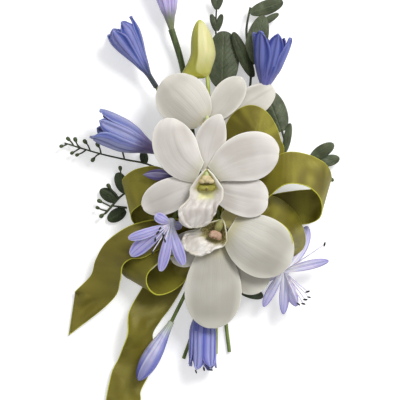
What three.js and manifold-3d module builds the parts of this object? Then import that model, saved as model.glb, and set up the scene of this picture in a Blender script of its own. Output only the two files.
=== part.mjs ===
// An orchid corsage lying on its back, as it is laid on a table before it is pinned on.
// White dendrobium blooms, a green orchid bud, blue agapanthus florets, leaf sprigs and a satin
// bow are bound on one taped stem bundle, and a pearl-headed pin is stuck through the tape.
// Millimetres and degrees. +Z points up from the table and +Y to the top of the spray.
// The origin is on the table, under the middle of the spray.

import * as THREE from "three";
import { mergeVertices } from "three/addons/utils/BufferGeometryUtils.js";
import Module from "manifold-3d";

const wasm = await Module();
wasm.setup();

// The square that the spray is laid out on, and the height that its places are shares of. A place
// is [x, y, z] in shares: x and y of the side, from the square's middle, and z of the height.
const spray = { side: 180, height: 40 };

// The gap that is left round a piece that another one touches, grips or holds.
const clearance = 0.3;

const petalThickness = 0.9;
const lipThickness = 0.8;
const leafThickness = 0.8;
const tepalThickness = 0.7;
const ribbon = { width: 16, thickness: 0.5 };

// The taped bundle, and the slots in it that the stems lie in.
const bundle = {
  centreShares: [0.03, -0.08, 0],
  length: 18,
  slotPitch: 2.6,
  wall: 0.85,
  cornerRadius: 3,
  tapeTurn: 3,
  tapeStep: 0.25,
  straight: 1.6,
};
const stem = { radius: 0.85, wireRadius: 0.75, twigRadius: 0.7 };
const columns = { left: -3, farLeft: -2, nearLeft: -1, middle: 0, nearRight: 1, farRight: 2, right: 3 };

// The corsage pin. It slides out of the bundle along -Y.
const pin = {
  length: 50,
  radius: 0.4,
  pointLength: 4,
  pearlRadius: 2.5,
  neckLength: 1.2,
  neckRadius: 0.9,
  shaftSides: 8,
  pearlSides: 12,
};
const knot = { length: 9, width: 12.5, height: 5.2, foldDepth: 0.5, folds: 3, roundness: 0.7 };

const radians = THREE.MathUtils.degToRad;
const fullTurn = 2 * Math.PI;

// Meshes and solids

const weldShare = 1e-4;
const shortestEdge = 0.01;

/** A closed three.js geometry as a manifold solid, whichever way its faces are wound. */
function solidFrom(geometry) {
  const bare = geometry.clone();
  for (const extra of ["normal", "uv"]) bare.deleteAttribute(extra);
  const merged = mergeVertices(bare, weldShare);
  const corners = merged.index.array;
  const faces = [];
  for (let i = 0; i < corners.length; i += 3) {
    const [a, b, c] = [corners[i], corners[i + 1], corners[i + 2]];
    if (a !== b && b !== c && a !== c) faces.push(a, b, c);
  }
  const make = (triangles) =>
    new wasm.Manifold(
      new wasm.Mesh({
        numProp: 3,
        vertProperties: new Float32Array(merged.attributes.position.array),
        triVerts: new Uint32Array(triangles),
        tolerance: shortestEdge,
      }),
    );
  const solid = make(faces);
  return solid.volume() < 0 ? make(faces.reverse()) : solid;
}

/** A manifold solid as a three.js geometry. */
function geometryFrom(solid) {
  const mesh = solid.getMesh();
  const places = new Float32Array(mesh.numVert * 3);
  for (let i = 0; i < mesh.numVert; i++) {
    const start = i * mesh.numProp;
    places.set(mesh.vertProperties.subarray(start, start + 3), i * 3);
  }
  const geometry = new THREE.BufferGeometry();
  geometry.setAttribute("position", new THREE.BufferAttribute(places, 3));
  geometry.setIndex(new THREE.BufferAttribute(new Uint32Array(mesh.triVerts), 1));
  geometry.computeVertexNormals();
  return geometry;
}

/** Several solids joined into one. */
const joined = (solids) => solids.reduce((whole, part) => whole.add(part));

/** The place that shares of the layout stand for. */
const spot = ([x, y, z]) => new THREE.Vector3(x * spray.side, y * spray.side, z * spray.height);

/** A turn by heading in plan, then pitch above the table, then roll about the piece's own +Y. */
function turnOf({ heading = 90, pitch = 0, roll = 0 }) {
  return new THREE.Euler(radians(pitch), radians(roll), radians(heading - 90), "ZXY");
}

/** A solid moved to a place and turned there. */
function placed(solid, place, turn = {}) {
  const size = new THREE.Vector3(1, 1, 1);
  const rotation = new THREE.Quaternion().setFromEuler(turnOf(turn));
  return solid.transform(new THREE.Matrix4().compose(place, rotation, size).elements);
}

/**
 * A thin closed body on both sides of a surface. surface(along, across) gives a point for along
 * from 0 to 1 and across from -1 to 1, and thicknessAt(along, across) the thickness there.
 */
function thinBody(surface, rowCount, columnCount, thicknessAt, evenRows = false) {
  const rows = Math.round(rowCount);
  const wide = Math.round(columnCount) + 1;
  const step = 1e-3;
  const places = [];
  const normal = new THREE.Vector3();
  const rowAt = (i) => (evenRows ? i / rows : (1 - Math.cos((Math.PI * i) / rows)) / 2);
  for (const side of [1, -1])
    for (let i = 0; i <= rows; i++)
      for (let j = 0; j < wide; j++) {
        const along = rowAt(i);
        const across = (2 * j) / (wide - 1) - 1;
        const point = surface(along, across);
        const low = Math.max(along - step, 0);
        const high = Math.min(along + step, 1);
        const lengthways = surface(high, across).sub(surface(low, across));
        const right = surface(along, Math.min(across + step, 1));
        normal.crossVectors(right.sub(surface(along, Math.max(across - step, -1))), lengthways);
        point.addScaledVector(normal.normalize(), (side * thicknessAt(along, across)) / 2);
        places.push(point.x, point.y, point.z);
      }
  const back = (rows + 1) * wide;
  const faces = [];
  const quad = (a, b, c, d) => faces.push(a, b, c, a, c, d);
  for (let i = 0; i < rows; i++)
    for (let j = 0; j < wide - 1; j++) {
      const a = i * wide + j;
      quad(a, a + 1, a + wide + 1, a + wide);
      quad(back + a, back + a + wide, back + a + wide + 1, back + a + 1);
    }
  for (let j = 0; j < wide - 1; j++) {
    const last = rows * wide + j;
    quad(j, back + j, back + j + 1, j + 1);
    quad(last, last + 1, back + last + 1, back + last);
  }
  for (let i = 0; i < rows; i++) {
    const left = i * wide;
    const right = left + wide - 1;
    quad(left, left + wide, back + left + wide, back + left);
    quad(right, back + right, back + right + wide, right + wide);
  }
  const geometry = new THREE.BufferGeometry();
  geometry.setAttribute("position", new THREE.Float32BufferAttribute(places, 3));
  geometry.setIndex(faces);
  return solidFrom(geometry);
}

const barStepLength = 12;
const stemSides = 6;
const twigSides = 5;
const hairSides = 3;

/** A round bar along a smooth curve through the points. */
function barAlong(points, radius, grow = 0, sides = stemSides) {
  const path = new THREE.CatmullRomCurve3(points, false, "centripetal");
  const steps = Math.max(Math.round(path.getLength() / barStepLength), points.length - 1);
  const outline = new THREE.Shape();
  for (let i = 0; i < sides; i++) {
    const angle = (fullTurn * i) / sides;
    const reach = radius + grow;
    if (i) outline.lineTo(reach * Math.cos(angle), reach * Math.sin(angle));
    else outline.moveTo(reach, 0);
  }
  const along = { steps, extrudePath: path, bevelEnabled: false };
  return solidFrom(new THREE.ExtrudeGeometry(outline, along));
}

/** A body of revolution about +Y through [radius, height] points, each point then reshaped. */
function turned(profile, segments, reshape = null) {
  const points = profile.map(([radius, height]) => new THREE.Vector2(Math.max(radius, 0), height));
  const geometry = new THREE.LatheGeometry(points, segments);
  const places = geometry.attributes.position;
  for (let i = 0; reshape && i < places.count; i++) {
    const point = new THREE.Vector3().fromBufferAttribute(places, i);
    reshape(point);
    places.setXYZ(i, point.x, point.y, point.z);
  }
  return solidFrom(geometry);
}

/** An ellipsoid with the given half sizes. */
function ellipsoid(x, y, z) {
  return solidFrom(new THREE.IcosahedronGeometry(1, 1).scale(x, y, z));
}

/** A small eight-sided grain with the given half sizes, for anthers and tiny buds. */
function grain(x, y, z) {
  return solidFrom(new THREE.OctahedronGeometry(1, 0).scale(x, y, z));
}

/** Which end of a body a share of its length is: -1 at the foot, 1 at the tip and 0 between. */
const endOf = (share) => (share >= 1) - (share <= 0);

// Petals, sepals, tepals and leaves: one blade form with its own outline, bend, sway and crown

const tipHalfWidth = 0.12;
const thinEdgeShare = 0.65;

/** The half width of a blade at a share of its length. */
function halfWidthAt(form, lengthShare) {
  const t = THREE.MathUtils.clamp(lengthShare, 0, 1);
  const { fullestShare = 0.5, bluntShare = 0.5, clawShare = 0 } = form;
  const tip = 1 - bluntShare;
  const foot = (tip * fullestShare) / (1 - fullestShare);
  const full = fullestShare ** foot * (1 - fullestShare) ** tip;
  const oval = (t ** foot * (1 - t) ** tip) / full;
  return (form.width / 2) * Math.hypot(oval, clawShare * (1 - t) ** 2) + tipHalfWidth;
}

/**
 * The middle surface of a blade along +Y from the origin, facing +Z. bend curls its tip down, sway
 * bows its midrib to the left, crown lowers its sides, fold creases it and wave ripples its sides.
 */
function bladeSurface(form, grow) {
  const { length, width, bend = 0, sway = 0, crown = 0, fold = 0, wave = 0, waves = 2 } = form;
  const overrun = grow / length;
  const curl = radians(bend) || 1e-6;
  const bow = radians(sway) || 1e-6;
  const reach = (length / curl) * Math.sin(curl);
  return (along, across) => {
    const lengthShare = along + overrun * endOf(along);
    const angle = curl * lengthShare;
    const down = (length / curl) * (1 - Math.cos(angle));
    const half = halfWidthAt(form, lengthShare);
    const fullness = (2 * half) / width;
    const ripple = wave * across * across * Math.sin(fullTurn * waves * lengthShare + across);
    const lift = ripple - fullness * (crown * across * across + fold * Math.abs(across));
    const ahead = ((length / curl) * Math.sin(angle) + lift * Math.sin(angle)) / reach;
    const lean = bow * (0.5 - ahead);
    const aside = (half + grow) * across;
    return new THREE.Vector3(
      (-reach / bow) * (Math.cos(lean) - Math.cos(bow / 2)) + aside * Math.cos(lean),
      (reach / bow) * (Math.sin(bow / 2) - Math.sin(lean)) + aside * Math.sin(lean),
      lift * Math.cos(angle) - down,
    );
  };
}

const petalGrid = { rowCount: 8, columnCount: 4 };
const leafGrid = { rowCount: 6, columnCount: 4 };
const smallGrid = { rowCount: 4, columnCount: 2 };
const lipGrid = { rowCount: 9, columnCount: 4 };

/** A blade as a thin solid, thinner towards its edges. */
function blade(form, thickness, grow = 0, grid = petalGrid) {
  const thinning = (1 - thinEdgeShare) * thickness;
  const thicknessAt = (along, across) => thickness - thinning * across * across + 2 * grow;
  return thinBody(bladeSurface(form, grow), grid.rowCount, grid.columnCount, thicknessAt);
}

// The scene graph, and the fitting of each piece round those that were set before it

const corsage = new THREE.Group();
const pieces = [];

/** Adds a named mesh. make(grow) gives its solid in the mesh's frame, grown all round by grow. */
function addPiece(parent, name, material, make, place = {}) {
  const mesh = new THREE.Mesh(new THREE.BufferGeometry(), material);
  mesh.name = name;
  if (place.rootShares) mesh.position.copy(spot(place.rootShares));
  mesh.rotation.copy(turnOf(place));
  parent.add(mesh);
  pieces.push({ mesh, make, path: place.path ?? make });
  return mesh;
}

/** Whether two bounding boxes meet. */
const boxesMeet = (a, b) => [0, 1, 2].every((k) => a.min[k] <= b.max[k] && b.min[k] <= a.max[k]);

/** The table under the spray, which nothing reaches below. */
function tableBlock() {
  const depth = spray.height;
  const slab = new THREE.BoxGeometry(4 * spray.side, 4 * spray.side, depth);
  return solidFrom(slab.translate(0, 0, -depth / 2));
}

/** Each piece gives way to those before it in the list, so that a clearance is left round them. */
function fitTogether() {
  corsage.updateMatrixWorld(true);
  const table = tableBlock();
  const fitted = [];
  for (const { mesh, make, path } of pieces) {
    const matrix = mesh.matrixWorld;
    let solid = make(0).transform(matrix.elements).subtract(table);
    for (const other of fitted) {
      if (!boxesMeet(solid.boundingBox(), other.box)) continue;
      solid = solid.subtract(other.grown);
      if (solid.intersect(other.solid).volume() > 0) solid = solid.subtract(other.solid);
    }
    solid = solid.decompose().sort((a, b) => b.volume() - a.volume())[0];
    mesh.geometry = geometryFrom(solid.transform(matrix.clone().invert().elements));
    const grown = path(clearance).transform(matrix.elements);
    fitted.push({ solid, grown, box: grown.boundingBox() });
  }
}

const finish = (color, roughness, metalness = 0) =>
  new THREE.MeshStandardMaterial({ color, roughness, metalness });
const finishes = {
  petal: finish(0xe9e6df, 0.55),
  lip: finish(0xf1eef0, 0.5),
  column: finish(0xd9d68c, 0.5),
  bud: finish(0xdfe08c, 0.45),
  violet: finish(0x7a7dcb, 0.5),
  stamen: finish(0xd9cfe6, 0.6),
  stem: finish(0x6a7a3a, 0.6),
  tape: finish(0x4d6a35, 0.7),
  leaf: finish(0x5d7058, 0.6),
  sprig: finish(0x3f5230, 0.6),
  ribbon: finish(0x85811f, 0.35),
  steel: finish(0xc9c9cc, 0.25, 1),
  pearl: finish(0xf3efe6, 0.2),
};

// The stem bundle: rows of slots from the table up, and a top row that leaves room for the pearl

const slotRadius = stem.radius + clearance;
const rowHeights = { low: bundle.wall + slotRadius };
rowHeights.middle = rowHeights.low + bundle.slotPitch;
rowHeights.high = rowHeights.middle + slotRadius + pin.pearlRadius;
const bundleHeight = rowHeights.high + slotRadius + bundle.wall;
const bundleWidth = 2 * (columns.right * bundle.slotPitch + slotRadius + bundle.wall);
const bundleCentre = spot(bundle.centreShares);
const bundleTop = bundleCentre.y + bundle.length / 2;
const bundleFoot = bundleCentre.y - bundle.length / 2;

/** The place in a slot of the bundle, at a height up the spray. */
function inSlot(column, row, y) {
  return new THREE.Vector3(bundleCentre.x + column * bundle.slotPitch, y, rowHeights[row]);
}

/** The route of a stem from its flower, through its slot, and on to its cut end or flower below. */
function stemRoute(column, row, aboveShares, belowShares = []) {
  return [
    ...aboveShares.map(spot),
    inSlot(column, row, bundleTop + bundle.straight),
    inSlot(column, row, bundleCentre.y),
    inSlot(column, row, bundleFoot - bundle.straight),
    ...belowShares.map(spot),
  ];
}

/** The tape wound round the bundle: rounded rings that swell and draw in with each turn. */
function tapedBundle() {
  const outline = new THREE.Shape();
  const [halfWidth, height, corner] = [bundleWidth / 2, bundleHeight, bundle.cornerRadius];
  outline.moveTo(-halfWidth + corner, 0);
  outline.lineTo(halfWidth - corner, 0);
  outline.absarc(halfWidth - corner, corner, corner, -fullTurn / 4, 0);
  outline.absarc(halfWidth - corner, height - corner, corner, 0, fullTurn / 4);
  outline.absarc(corner - halfWidth, height - corner, corner, fullTurn / 4, fullTurn / 2);
  outline.absarc(corner - halfWidth, corner, corner, fullTurn / 2, (3 * fullTurn) / 4);
  const turns = Math.round(bundle.length / bundle.tapeTurn);
  const solid = { depth: bundle.length, steps: 2 * turns, bevelEnabled: false, curveSegments: 2 };
  const geometry = new THREE.ExtrudeGeometry(outline, solid);
  const places = geometry.attributes.position;
  for (let i = 0; i < places.count; i++) {
    const turnShare = Math.abs(Math.sin((Math.PI * turns * places.getZ(i)) / bundle.length));
    const narrow = 1 - (bundle.tapeStep * (1 - turnShare)) / halfWidth;
    const [x, y, z] = [places.getX(i), places.getY(i), places.getZ(i)];
    places.setXYZ(i, x * narrow, bundleTop - z, y * narrow);
  }
  return solidFrom(geometry).transform(new THREE.Matrix4().setPosition(bundleCentre.x, 0, 0).elements);
}

// The pin

const pinRoot = inSlot(columns.right, "high", bundleFoot - clearance);

/** The steel shaft, with its point at the top and its head end in the pearl. */
function pinShaft() {
  const blunt = pin.radius / 4;
  const reach = pin.length;
  const profile = [
    [0, clearance],
    [pin.radius, clearance],
    [pin.radius, reach - pin.pointLength],
    [blunt, reach],
    [0, reach],
  ];
  return placed(turned(profile, pin.shaftSides), pinRoot);
}

/** The room that the shaft needs in the bundle and beyond it, at rest and as it slides out. */
function pinShaftRoom(grow) {
  const reach = pin.length + grow;
  const [inner, foot] = [pin.radius + grow, -pin.length];
  const profile = [[0, foot], [inner, foot], [inner, reach], [0, reach]];
  return placed(turned(profile, pin.shaftSides), pinRoot);
}

/** The pearl, with the short neck that the shaft is glued in. */
function pinPearl() {
  const steps = 8;
  const profile = [[0, -2 * pin.pearlRadius]];
  for (let i = 1; i < steps; i++) {
    const angle = (fullTurn / 2) * (i / steps);
    const height = -pin.pearlRadius * (1 + Math.cos(angle));
    if (height < -pin.neckLength / 2) profile.push([pin.pearlRadius * Math.sin(angle), height]);
  }
  profile.push([pin.neckRadius, -pin.neckLength / 2], [pin.neckRadius, 0], [0, 0]);
  return placed(turned(profile, pin.pearlSides), pinRoot);
}

/** The room that the pearl needs as the pin slides out. */
function pinPearlRoom(grow) {
  const reach = pin.pearlRadius + grow;
  const foot = -pin.length - 2 * pin.pearlRadius - grow;
  return placed(turned([[0, foot], [reach, foot], [reach, 0], [0, 0]], pin.pearlSides), pinRoot);
}

addPiece(corsage, "pin_pearl", finishes.pearl, pinPearl, { path: pinPearlRoom });
addPiece(corsage, "pin_shaft", finishes.steel, pinShaft, { path: pinShaftRoom });

// The orchid blooms

// Where a lip's heel, throat, tongue and rounded tip lie, as shares of its length
const lipShares = { heel: 0.25, throat: 0.45, tongue: 0.7, tip: 0.72, fall: 0.5 };
const tongueHollowShare = 0.15;
const narrowestShare = 0.15;

/** The lip: a gutter under the column that opens into a frilled tongue. */
function lip(form, grow) {
  const { length, width, throatWidth, depth, droop, frill, frills = 5 } = form;
  const { heel, throat, tongue, tip, fall } = lipShares;
  const overrun = grow / length;
  const rounded = (share) => Math.sqrt(Math.max(1 - share ** 2, narrowestShare ** 2));
  const surface = (along, across) => {
    const spread = THREE.MathUtils.smoothstep(along, throat, tongue);
    const start = rounded(Math.max(heel - along, 0) / heel);
    const end = rounded(Math.max(along - tip, 0) / (1 - tip));
    const half = (THREE.MathUtils.lerp(throatWidth, width, spread) / 2) * end * start;
    const hollow = depth * THREE.MathUtils.lerp(1, tongueHollowShare, spread) * start;
    const edge = frill * spread * across ** 2 * Math.sin(Math.PI * frills * (across + along));
    const drop = droop * (Math.max(along - fall, 0) / (1 - fall)) ** 2;
    const lift = edge - hollow * (1 - across ** 2) - drop;
    return new THREE.Vector3((half + grow) * across, length * (along + overrun * endOf(along)), lift);
  };
  return thinBody(surface, lipGrid.rowCount, lipGrid.columnCount, () => lipThickness + 2 * grow);
}

// The anther cap's half width, half length and place on the column, as shares of the column's sizes
const capShares = { width: 0.33, length: 0.2, ahead: 0.42, above: 0.16 };

/** The column: a hooded finger with the anther cap at its end. */
function column(form, grow) {
  const { length, width, height } = form;
  const hood = ellipsoid(width / 2 + grow, length / 2 + grow, height / 2 + grow);
  const capWidth = capShares.width * width + grow;
  const cap = ellipsoid(capWidth, capShares.length * length + grow, height / 2 + grow);
  const capPlace = new THREE.Vector3(0, capShares.ahead * length, capShares.above * height);
  return hood.add(placed(cap, capPlace));
}

const frontBloom = {
  column: {
    rootShares: [0.016, 0.045, 0.826],
    heading: -90,
    pitch: -6,
    length: 9.5,
    width: 6.4,
    height: 4.6,
  },
  lip: {
    rootShares: [0.017, 0.077, 0.88],
    heading: -91,
    pitch: 2,
    length: 25,
    width: 16.5,
    throatWidth: 14.5,
    depth: 5.6,
    droop: 5,
    frill: 0.9,
  },
  left_petal: {
    rootShares: [-0.001, 0.068, 0.79],
    heading: 116,
    pitch: 10,
    length: 29.5,
    width: 19.5,
    sway: 80,
    bend: 28,
    crown: 2.2,
    fullestShare: 0.56,
    bluntShare: 0.55,
    clawShare: 0.5,
  },
  right_petal: {
    rootShares: [0.034, 0.064, 0.79],
    heading: 17,
    pitch: 9,
    length: 31.5,
    width: 21.5,
    sway: 46,
    bend: 26,
    crown: 2.2,
    fullestShare: 0.6,
    bluntShare: 0.56,
    clawShare: 0.4,
  },
  dorsal_sepal: {
    rootShares: [0.015, 0.074, 0.73],
    heading: 75,
    pitch: 8,
    length: 26,
    width: 13.5,
    sway: 26,
    bend: 14,
    crown: 0.4,
    fold: 1.2,
    fullestShare: 0.5,
    bluntShare: 0.3,
    clawShare: 0.6,
  },
  left_lateral_sepal: {
    rootShares: [-0.008, 0.042, 0.73],
    heading: 204,
    pitch: 2,
    length: 27,
    width: 15,
    bend: 20,
    crown: 1.2,
    fullestShare: 0.56,
    bluntShare: 0.52,
    clawShare: 0.4,
  },
  right_lateral_sepal: {
    rootShares: [0.03, 0.032, 0.73],
    heading: -13,
    pitch: 2,
    length: 26,
    width: 18,
    sway: -14,
    bend: 18,
    crown: 1,
    wave: 0.7,
    fullestShare: 0.64,
    bluntShare: 0.64,
    clawShare: 0.45,
  },
};

const lowerBloom = {
  column: { rootShares: [0.045, -0.07, 0.645], heading: -110, pitch: -8, length: 9, width: 6, height: 4.4 },
  lip: {
    rootShares: [0.057, -0.05, 0.665],
    heading: -122,
    pitch: -2,
    length: 19.5,
    width: 14,
    throatWidth: 12.5,
    depth: 4.8,
    droop: 2.2,
    frill: 0.9,
  },
  right_petal: {
    rootShares: [0.074, -0.069, 0.625],
    heading: -31,
    pitch: 8,
    length: 32,
    width: 27,
    bend: 26,
    crown: 3,
    fullestShare: 0.54,
    bluntShare: 0.56,
    clawShare: 0.4,
  },
  lower_sepal: {
    rootShares: [0.035, -0.113, 0.525],
    heading: -91,
    pitch: 4.5,
    length: 38,
    width: 25.5,
    bend: 20,
    crown: 2.8,
    fullestShare: 0.58,
    bluntShare: 0.54,
    clawShare: 0.42,
  },
  dorsal_sepal: {
    rootShares: [0.06, -0.058, 0.57],
    heading: 30,
    pitch: 0,
    length: 20,
    width: 13,
    bend: 10,
    crown: 0.8,
    fullestShare: 0.5,
    bluntShare: 0.45,
    clawShare: 0.5,
  },
  left_petal: {
    rootShares: [0.018, -0.09, 0.495],
    heading: 214,
    pitch: -4,
    length: 20,
    width: 15,
    bend: 14,
    crown: 1,
    fullestShare: 0.56,
    bluntShare: 0.54,
    clawShare: 0.45,
  },
  right_lateral_sepal: {
    rootShares: [0.055, -0.1, 0.475],
    heading: -50,
    pitch: 2,
    length: 29.5,
    width: 19,
    bend: 16,
    crown: 1.6,
    fullestShare: 0.62,
    bluntShare: 0.6,
    clawShare: 0.4,
  },
};

const backBloom = {
  column: { rootShares: [0.018, 0.186, 0.56], heading: -90, pitch: -6, length: 8, width: 5.4, height: 3.6 },
  left_petal: {
    rootShares: [0.009, 0.196, 0.5],
    heading: 134,
    pitch: 8,
    length: 26.5,
    width: 23.5,
    bend: 24,
    crown: 2.4,
    fullestShare: 0.52,
    bluntShare: 0.52,
    clawShare: 0.35,
  },
  dorsal_sepal: {
    rootShares: [0.023, 0.2, 0.445],
    heading: 52,
    pitch: 5,
    length: 24.5,
    width: 13.5,
    bend: 14,
    crown: 1.4,
    fullestShare: 0.56,
    bluntShare: 0.45,
    clawShare: 0.45,
  },
  right_petal: {
    rootShares: [0.034, 0.184, 0.385],
    heading: 33,
    pitch: 1,
    length: 33,
    width: 14,
    bend: 14,
    crown: 1.2,
    fullestShare: 0.58,
    bluntShare: 0.5,
    clawShare: 0.4,
  },
};

/** The pieces of one bloom, from the face backwards. */
function addBloom(name, bloom) {
  for (const [part, form] of Object.entries(bloom)) {
    const title = name + "_" + part;
    if (part === "column") addPiece(corsage, title, finishes.column, (grow) => column(form, grow), form);
    else if (part === "lip") addPiece(corsage, title, finishes.lip, (grow) => lip(form, grow), form);
    else addPiece(corsage, title, finishes.petal, (grow) => blade(form, petalThickness, grow), form);
  }
}

/** A stem along its route, as a piece in the spray's own frame. */
function addStem(name, material, radius, route) {
  addPiece(corsage, name, material, (grow) => barAlong(route, radius, grow));
}

addBloom("front_bloom", frontBloom);

// The agapanthus florets and the closed buds

const budSides = 10;
const mouthLobes = 6;
const sidesPerLobe = 3;

/** A tube that opens into lobes, as one cup with its mouth up +Y; filled where it is grown. */
function trumpet(form, grow) {
  const { length, mouthRadius, tubeRadius, flare, lobeLength, pleatShare, hollowShare, wall } = form;
  const innerRings = 2;
  const rings = 6;
  const radiusAt = (t) => tubeRadius + (mouthRadius - tubeRadius) * t ** flare;
  const profile = [[0, -grow]];
  for (let i = 0; i <= rings; i++) {
    const t = i / rings;
    profile.push([radiusAt(t) + grow, length * t + (i ? grow : -grow)]);
  }
  if (grow) profile.push([0, length + grow]);
  else
    for (let i = 0; i <= innerRings; i++) {
      const t = 1 - (hollowShare * i) / innerRings;
      profile.push([i < innerRings ? Math.max(radiusAt(t) - wall, 0) : 0, length * t]);
    }
  const lobes = (point) => {
    if (Math.hypot(point.x, point.z) === 0) return;
    const t = THREE.MathUtils.clamp(point.y / length, 0, 1);
    const ridge = Math.cos(mouthLobes * Math.atan2(point.z, point.x));
    const swell = 1 + pleatShare * ridge * t;
    point.x *= swell;
    point.z *= swell;
    point.y += (lobeLength / 2) * (ridge - 1) * t ** 6;
  };
  return turned(profile, mouthLobes * sidesPerLobe, lobes);
}

/** A closed bud of a length, fullest at a share of it. */
function longBud(form, grow) {
  const { length, radius, footRadius, fullestShare } = form;
  const rings = 8;
  const profile = [[0, -grow]];
  for (let i = 0; i <= rings; i++) {
    const t = i / rings;
    const rise = Math.sin((Math.PI / 2) * Math.min(t / fullestShare, 1)) ** 1.6;
    const close = Math.sqrt(1 - (Math.max(t - fullestShare, 0) / (1 - fullestShare)) ** 2);
    const width = (footRadius + (radius - footRadius) * rise) * close;
    profile.push([i < rings ? width + grow : 0, length * t + (i ? grow : -grow)]);
  }
  return turned(profile, budSides);
}

const openTepal = { width: 4.2, fullestShare: 0.66, bluntShare: 0.5, clawShare: 0.5, crown: 0.5 };
const floretTube = { radius: 2.6, rise: 5 };
const filament = { radius: 0.28, archShare: 0.12, footRadius: 0.9 };
const anther = { length: 1.9, width: 0.9, turn: 30 };
const circle = 360;

/** Six tepals round a short tube. Each has its heading, length, pitch and width as shares. */
function openFloret(form, grow) {
  const tubeRadius = floretTube.radius + grow;
  const tube = ellipsoid(tubeRadius, tubeRadius, floretTube.rise / 2 + grow);
  const parts = [placed(tube, new THREE.Vector3(0, 0, -floretTube.rise / 2))];
  for (const [headingShare, lengthShare, pitchShare, widthShare] of form.tepalShares) {
    const length = form.reach * lengthShare;
    const tepal = { ...openTepal, width: openTepal.width * widthShare, length, bend: form.bend };
    const turn = { heading: headingShare * circle, pitch: pitchShare * circle };
    parts.push(placed(blade(tepal, tepalThickness, grow, smallGrid), new THREE.Vector3(), turn));
  }
  return joined(parts);
}

/** Stamens from one foot. Each has its heading, length and pitch as shares. */
function stamens(form, grow) {
  const footSize = filament.footRadius + grow;
  const parts = [grain(footSize, footSize, footSize)];
  const width = anther.width / 2 + grow;
  for (const [headingShare, lengthShare, pitchShare] of form.stamenShares) {
    const length = form.reach * lengthShare;
    const [run, rise] = [Math.cos(pitchShare * fullTurn), Math.sin(pitchShare * fullTurn)];
    const arch = [0, 0.5, 1].map((t) => {
      const lift = t * rise + filament.archShare * Math.sin(Math.PI * t);
      return new THREE.Vector3(0, length * t * run, length * lift);
    });
    const head = grain(width, anther.length / 2 + grow, width);
    const thread = barAlong(arch, filament.radius, grow, hairSides);
    const whole = thread.add(placed(head, arch[2], { heading: anther.turn }));
    parts.push(placed(whole, new THREE.Vector3(), { heading: headingShare * circle }));
  }
  return joined(parts);
}

const leftFloret = {
  rootShares: [-0.073, -0.058, 0.64],
  reach: 20,
  bend: 16,
  tepalShares: [
    [0.554, 1.02, 0.015, 0.95],
    [0.608, 1.2, -0.012, 1.5],
    [0.716, 1.12, 0, 1.05],
    [0.798, 1, 0, 1.1],
    [0.42, 0.42, 0.08, 1],
    [0.95, 0.36, -0.1, 0.8],
  ],
  stamenShares: [
    [0.6, 0.42, 0.09],
    [0.66, 0.38, 0.1],
    [0.57, 0.34, 0.11],
    [0.7, 0.46, 0.08],
    [0.63, 0.55, 0.07],
    [0.66, 0.78, 0.04],
  ],
};
const rightFloret = {
  rootShares: [0.212, -0.18, 0.28],
  reach: 21,
  bend: 14,
  tepalShares: [
    [0.036, 1, 0.012, 1],
    [0.806, 0.82, 0.004, 1.25],
    [0.748, 0.94, 0.012, 1.05],
    [0.668, 0.9, 0.004, 1],
    [0.555, 0.8, -0.01, 0.9],
    [0.178, 1.04, -0.045, 1.1],
  ],
  stamenShares: [
    [0.835, 0.84, 0.045],
    [0.852, 0.8, 0.055],
    [0.872, 0.82, 0.06],
    [0.095, 1.08, 0.04],
    [0.815, 0.8, 0.05],
    [0.887, 0.72, 0.065],
  ],
};
addPiece(corsage, "left_floret_stamens", finishes.stamen, (grow) => stamens(leftFloret, grow), leftFloret);
addPiece(corsage, "left_floret", finishes.violet, (grow) => openFloret(leftFloret, grow), leftFloret);
addBloom("lower_bloom", lowerBloom);
addBloom("back_bloom", backBloom);
addPiece(corsage, "right_floret_stamens", finishes.stamen, (grow) => stamens(rightFloret, grow), rightFloret);
addPiece(corsage, "right_floret", finishes.violet, (grow) => openFloret(rightFloret, grow), rightFloret);

const bottomStamens = {
  rootShares: [0.01, -0.345, 0.175],
  reach: 17,
  stamenShares: [
    [0.715, 0.98, 0.0],
    [0.75, 0.88, 0.005],
    [0.782, 0.93, 0.0],
  ],
};
const bells = {
  upper_left_bell: {
    rootShares: [-0.11, 0.285, 0.2],
    heading: 122,
    pitch: 3,
    length: 33,
    mouthRadius: 7.4,
  },
  top_bell: { rootShares: [-0.072, 0.432, 0.17], heading: 99, pitch: 3, length: 27, mouthRadius: 6.2 },
  left_bell: {
    rootShares: [-0.107, 0.123, 0.3],
    heading: 156,
    pitch: 4,
    length: 31,
    mouthRadius: 7.3,
    flare: 0.75,
  },
  right_bell: {
    rootShares: [0.163, 0.283, 0.26],
    heading: 81,
    pitch: 3,
    length: 24.5,
    mouthRadius: 8.2,
    flare: 0.7,
  },
  bottom_bell: {
    rootShares: [0.009, -0.262, 0.17],
    heading: 269,
    pitch: 1,
    length: 30,
    mouthRadius: 5.9,
    flare: 0.7,
  },
};
const bellShape = {
  tubeRadius: 2,
  flare: 1,
  lobeLength: 4.5,
  pleatShare: 0.1,
  hollowShare: 0.62,
  wall: 0.8,
};
addPiece(
  corsage,
  "bottom_bell_stamens",
  finishes.stamen,
  (grow) => stamens(bottomStamens, grow),
  bottomStamens,
);
for (const [name, place] of Object.entries(bells)) {
  const form = { ...bellShape, ...place };
  addPiece(corsage, name, finishes.violet, (grow) => trumpet(form, grow), form);
}

const orchidBud = {
  rootShares: [0.016, 0.31, 0.4],
  heading: 97,
  pitch: 2,
  length: 26,
  radius: 5.5,
  footRadius: 2.6,
  fullestShare: 0.42,
  spurLength: 16,
  spurRadius: 3.4,
  spurFootRadius: 2.2,
  spurRise: 8,
  spurFullestShare: 0.3,
  spurHeading: 203,
};

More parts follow.
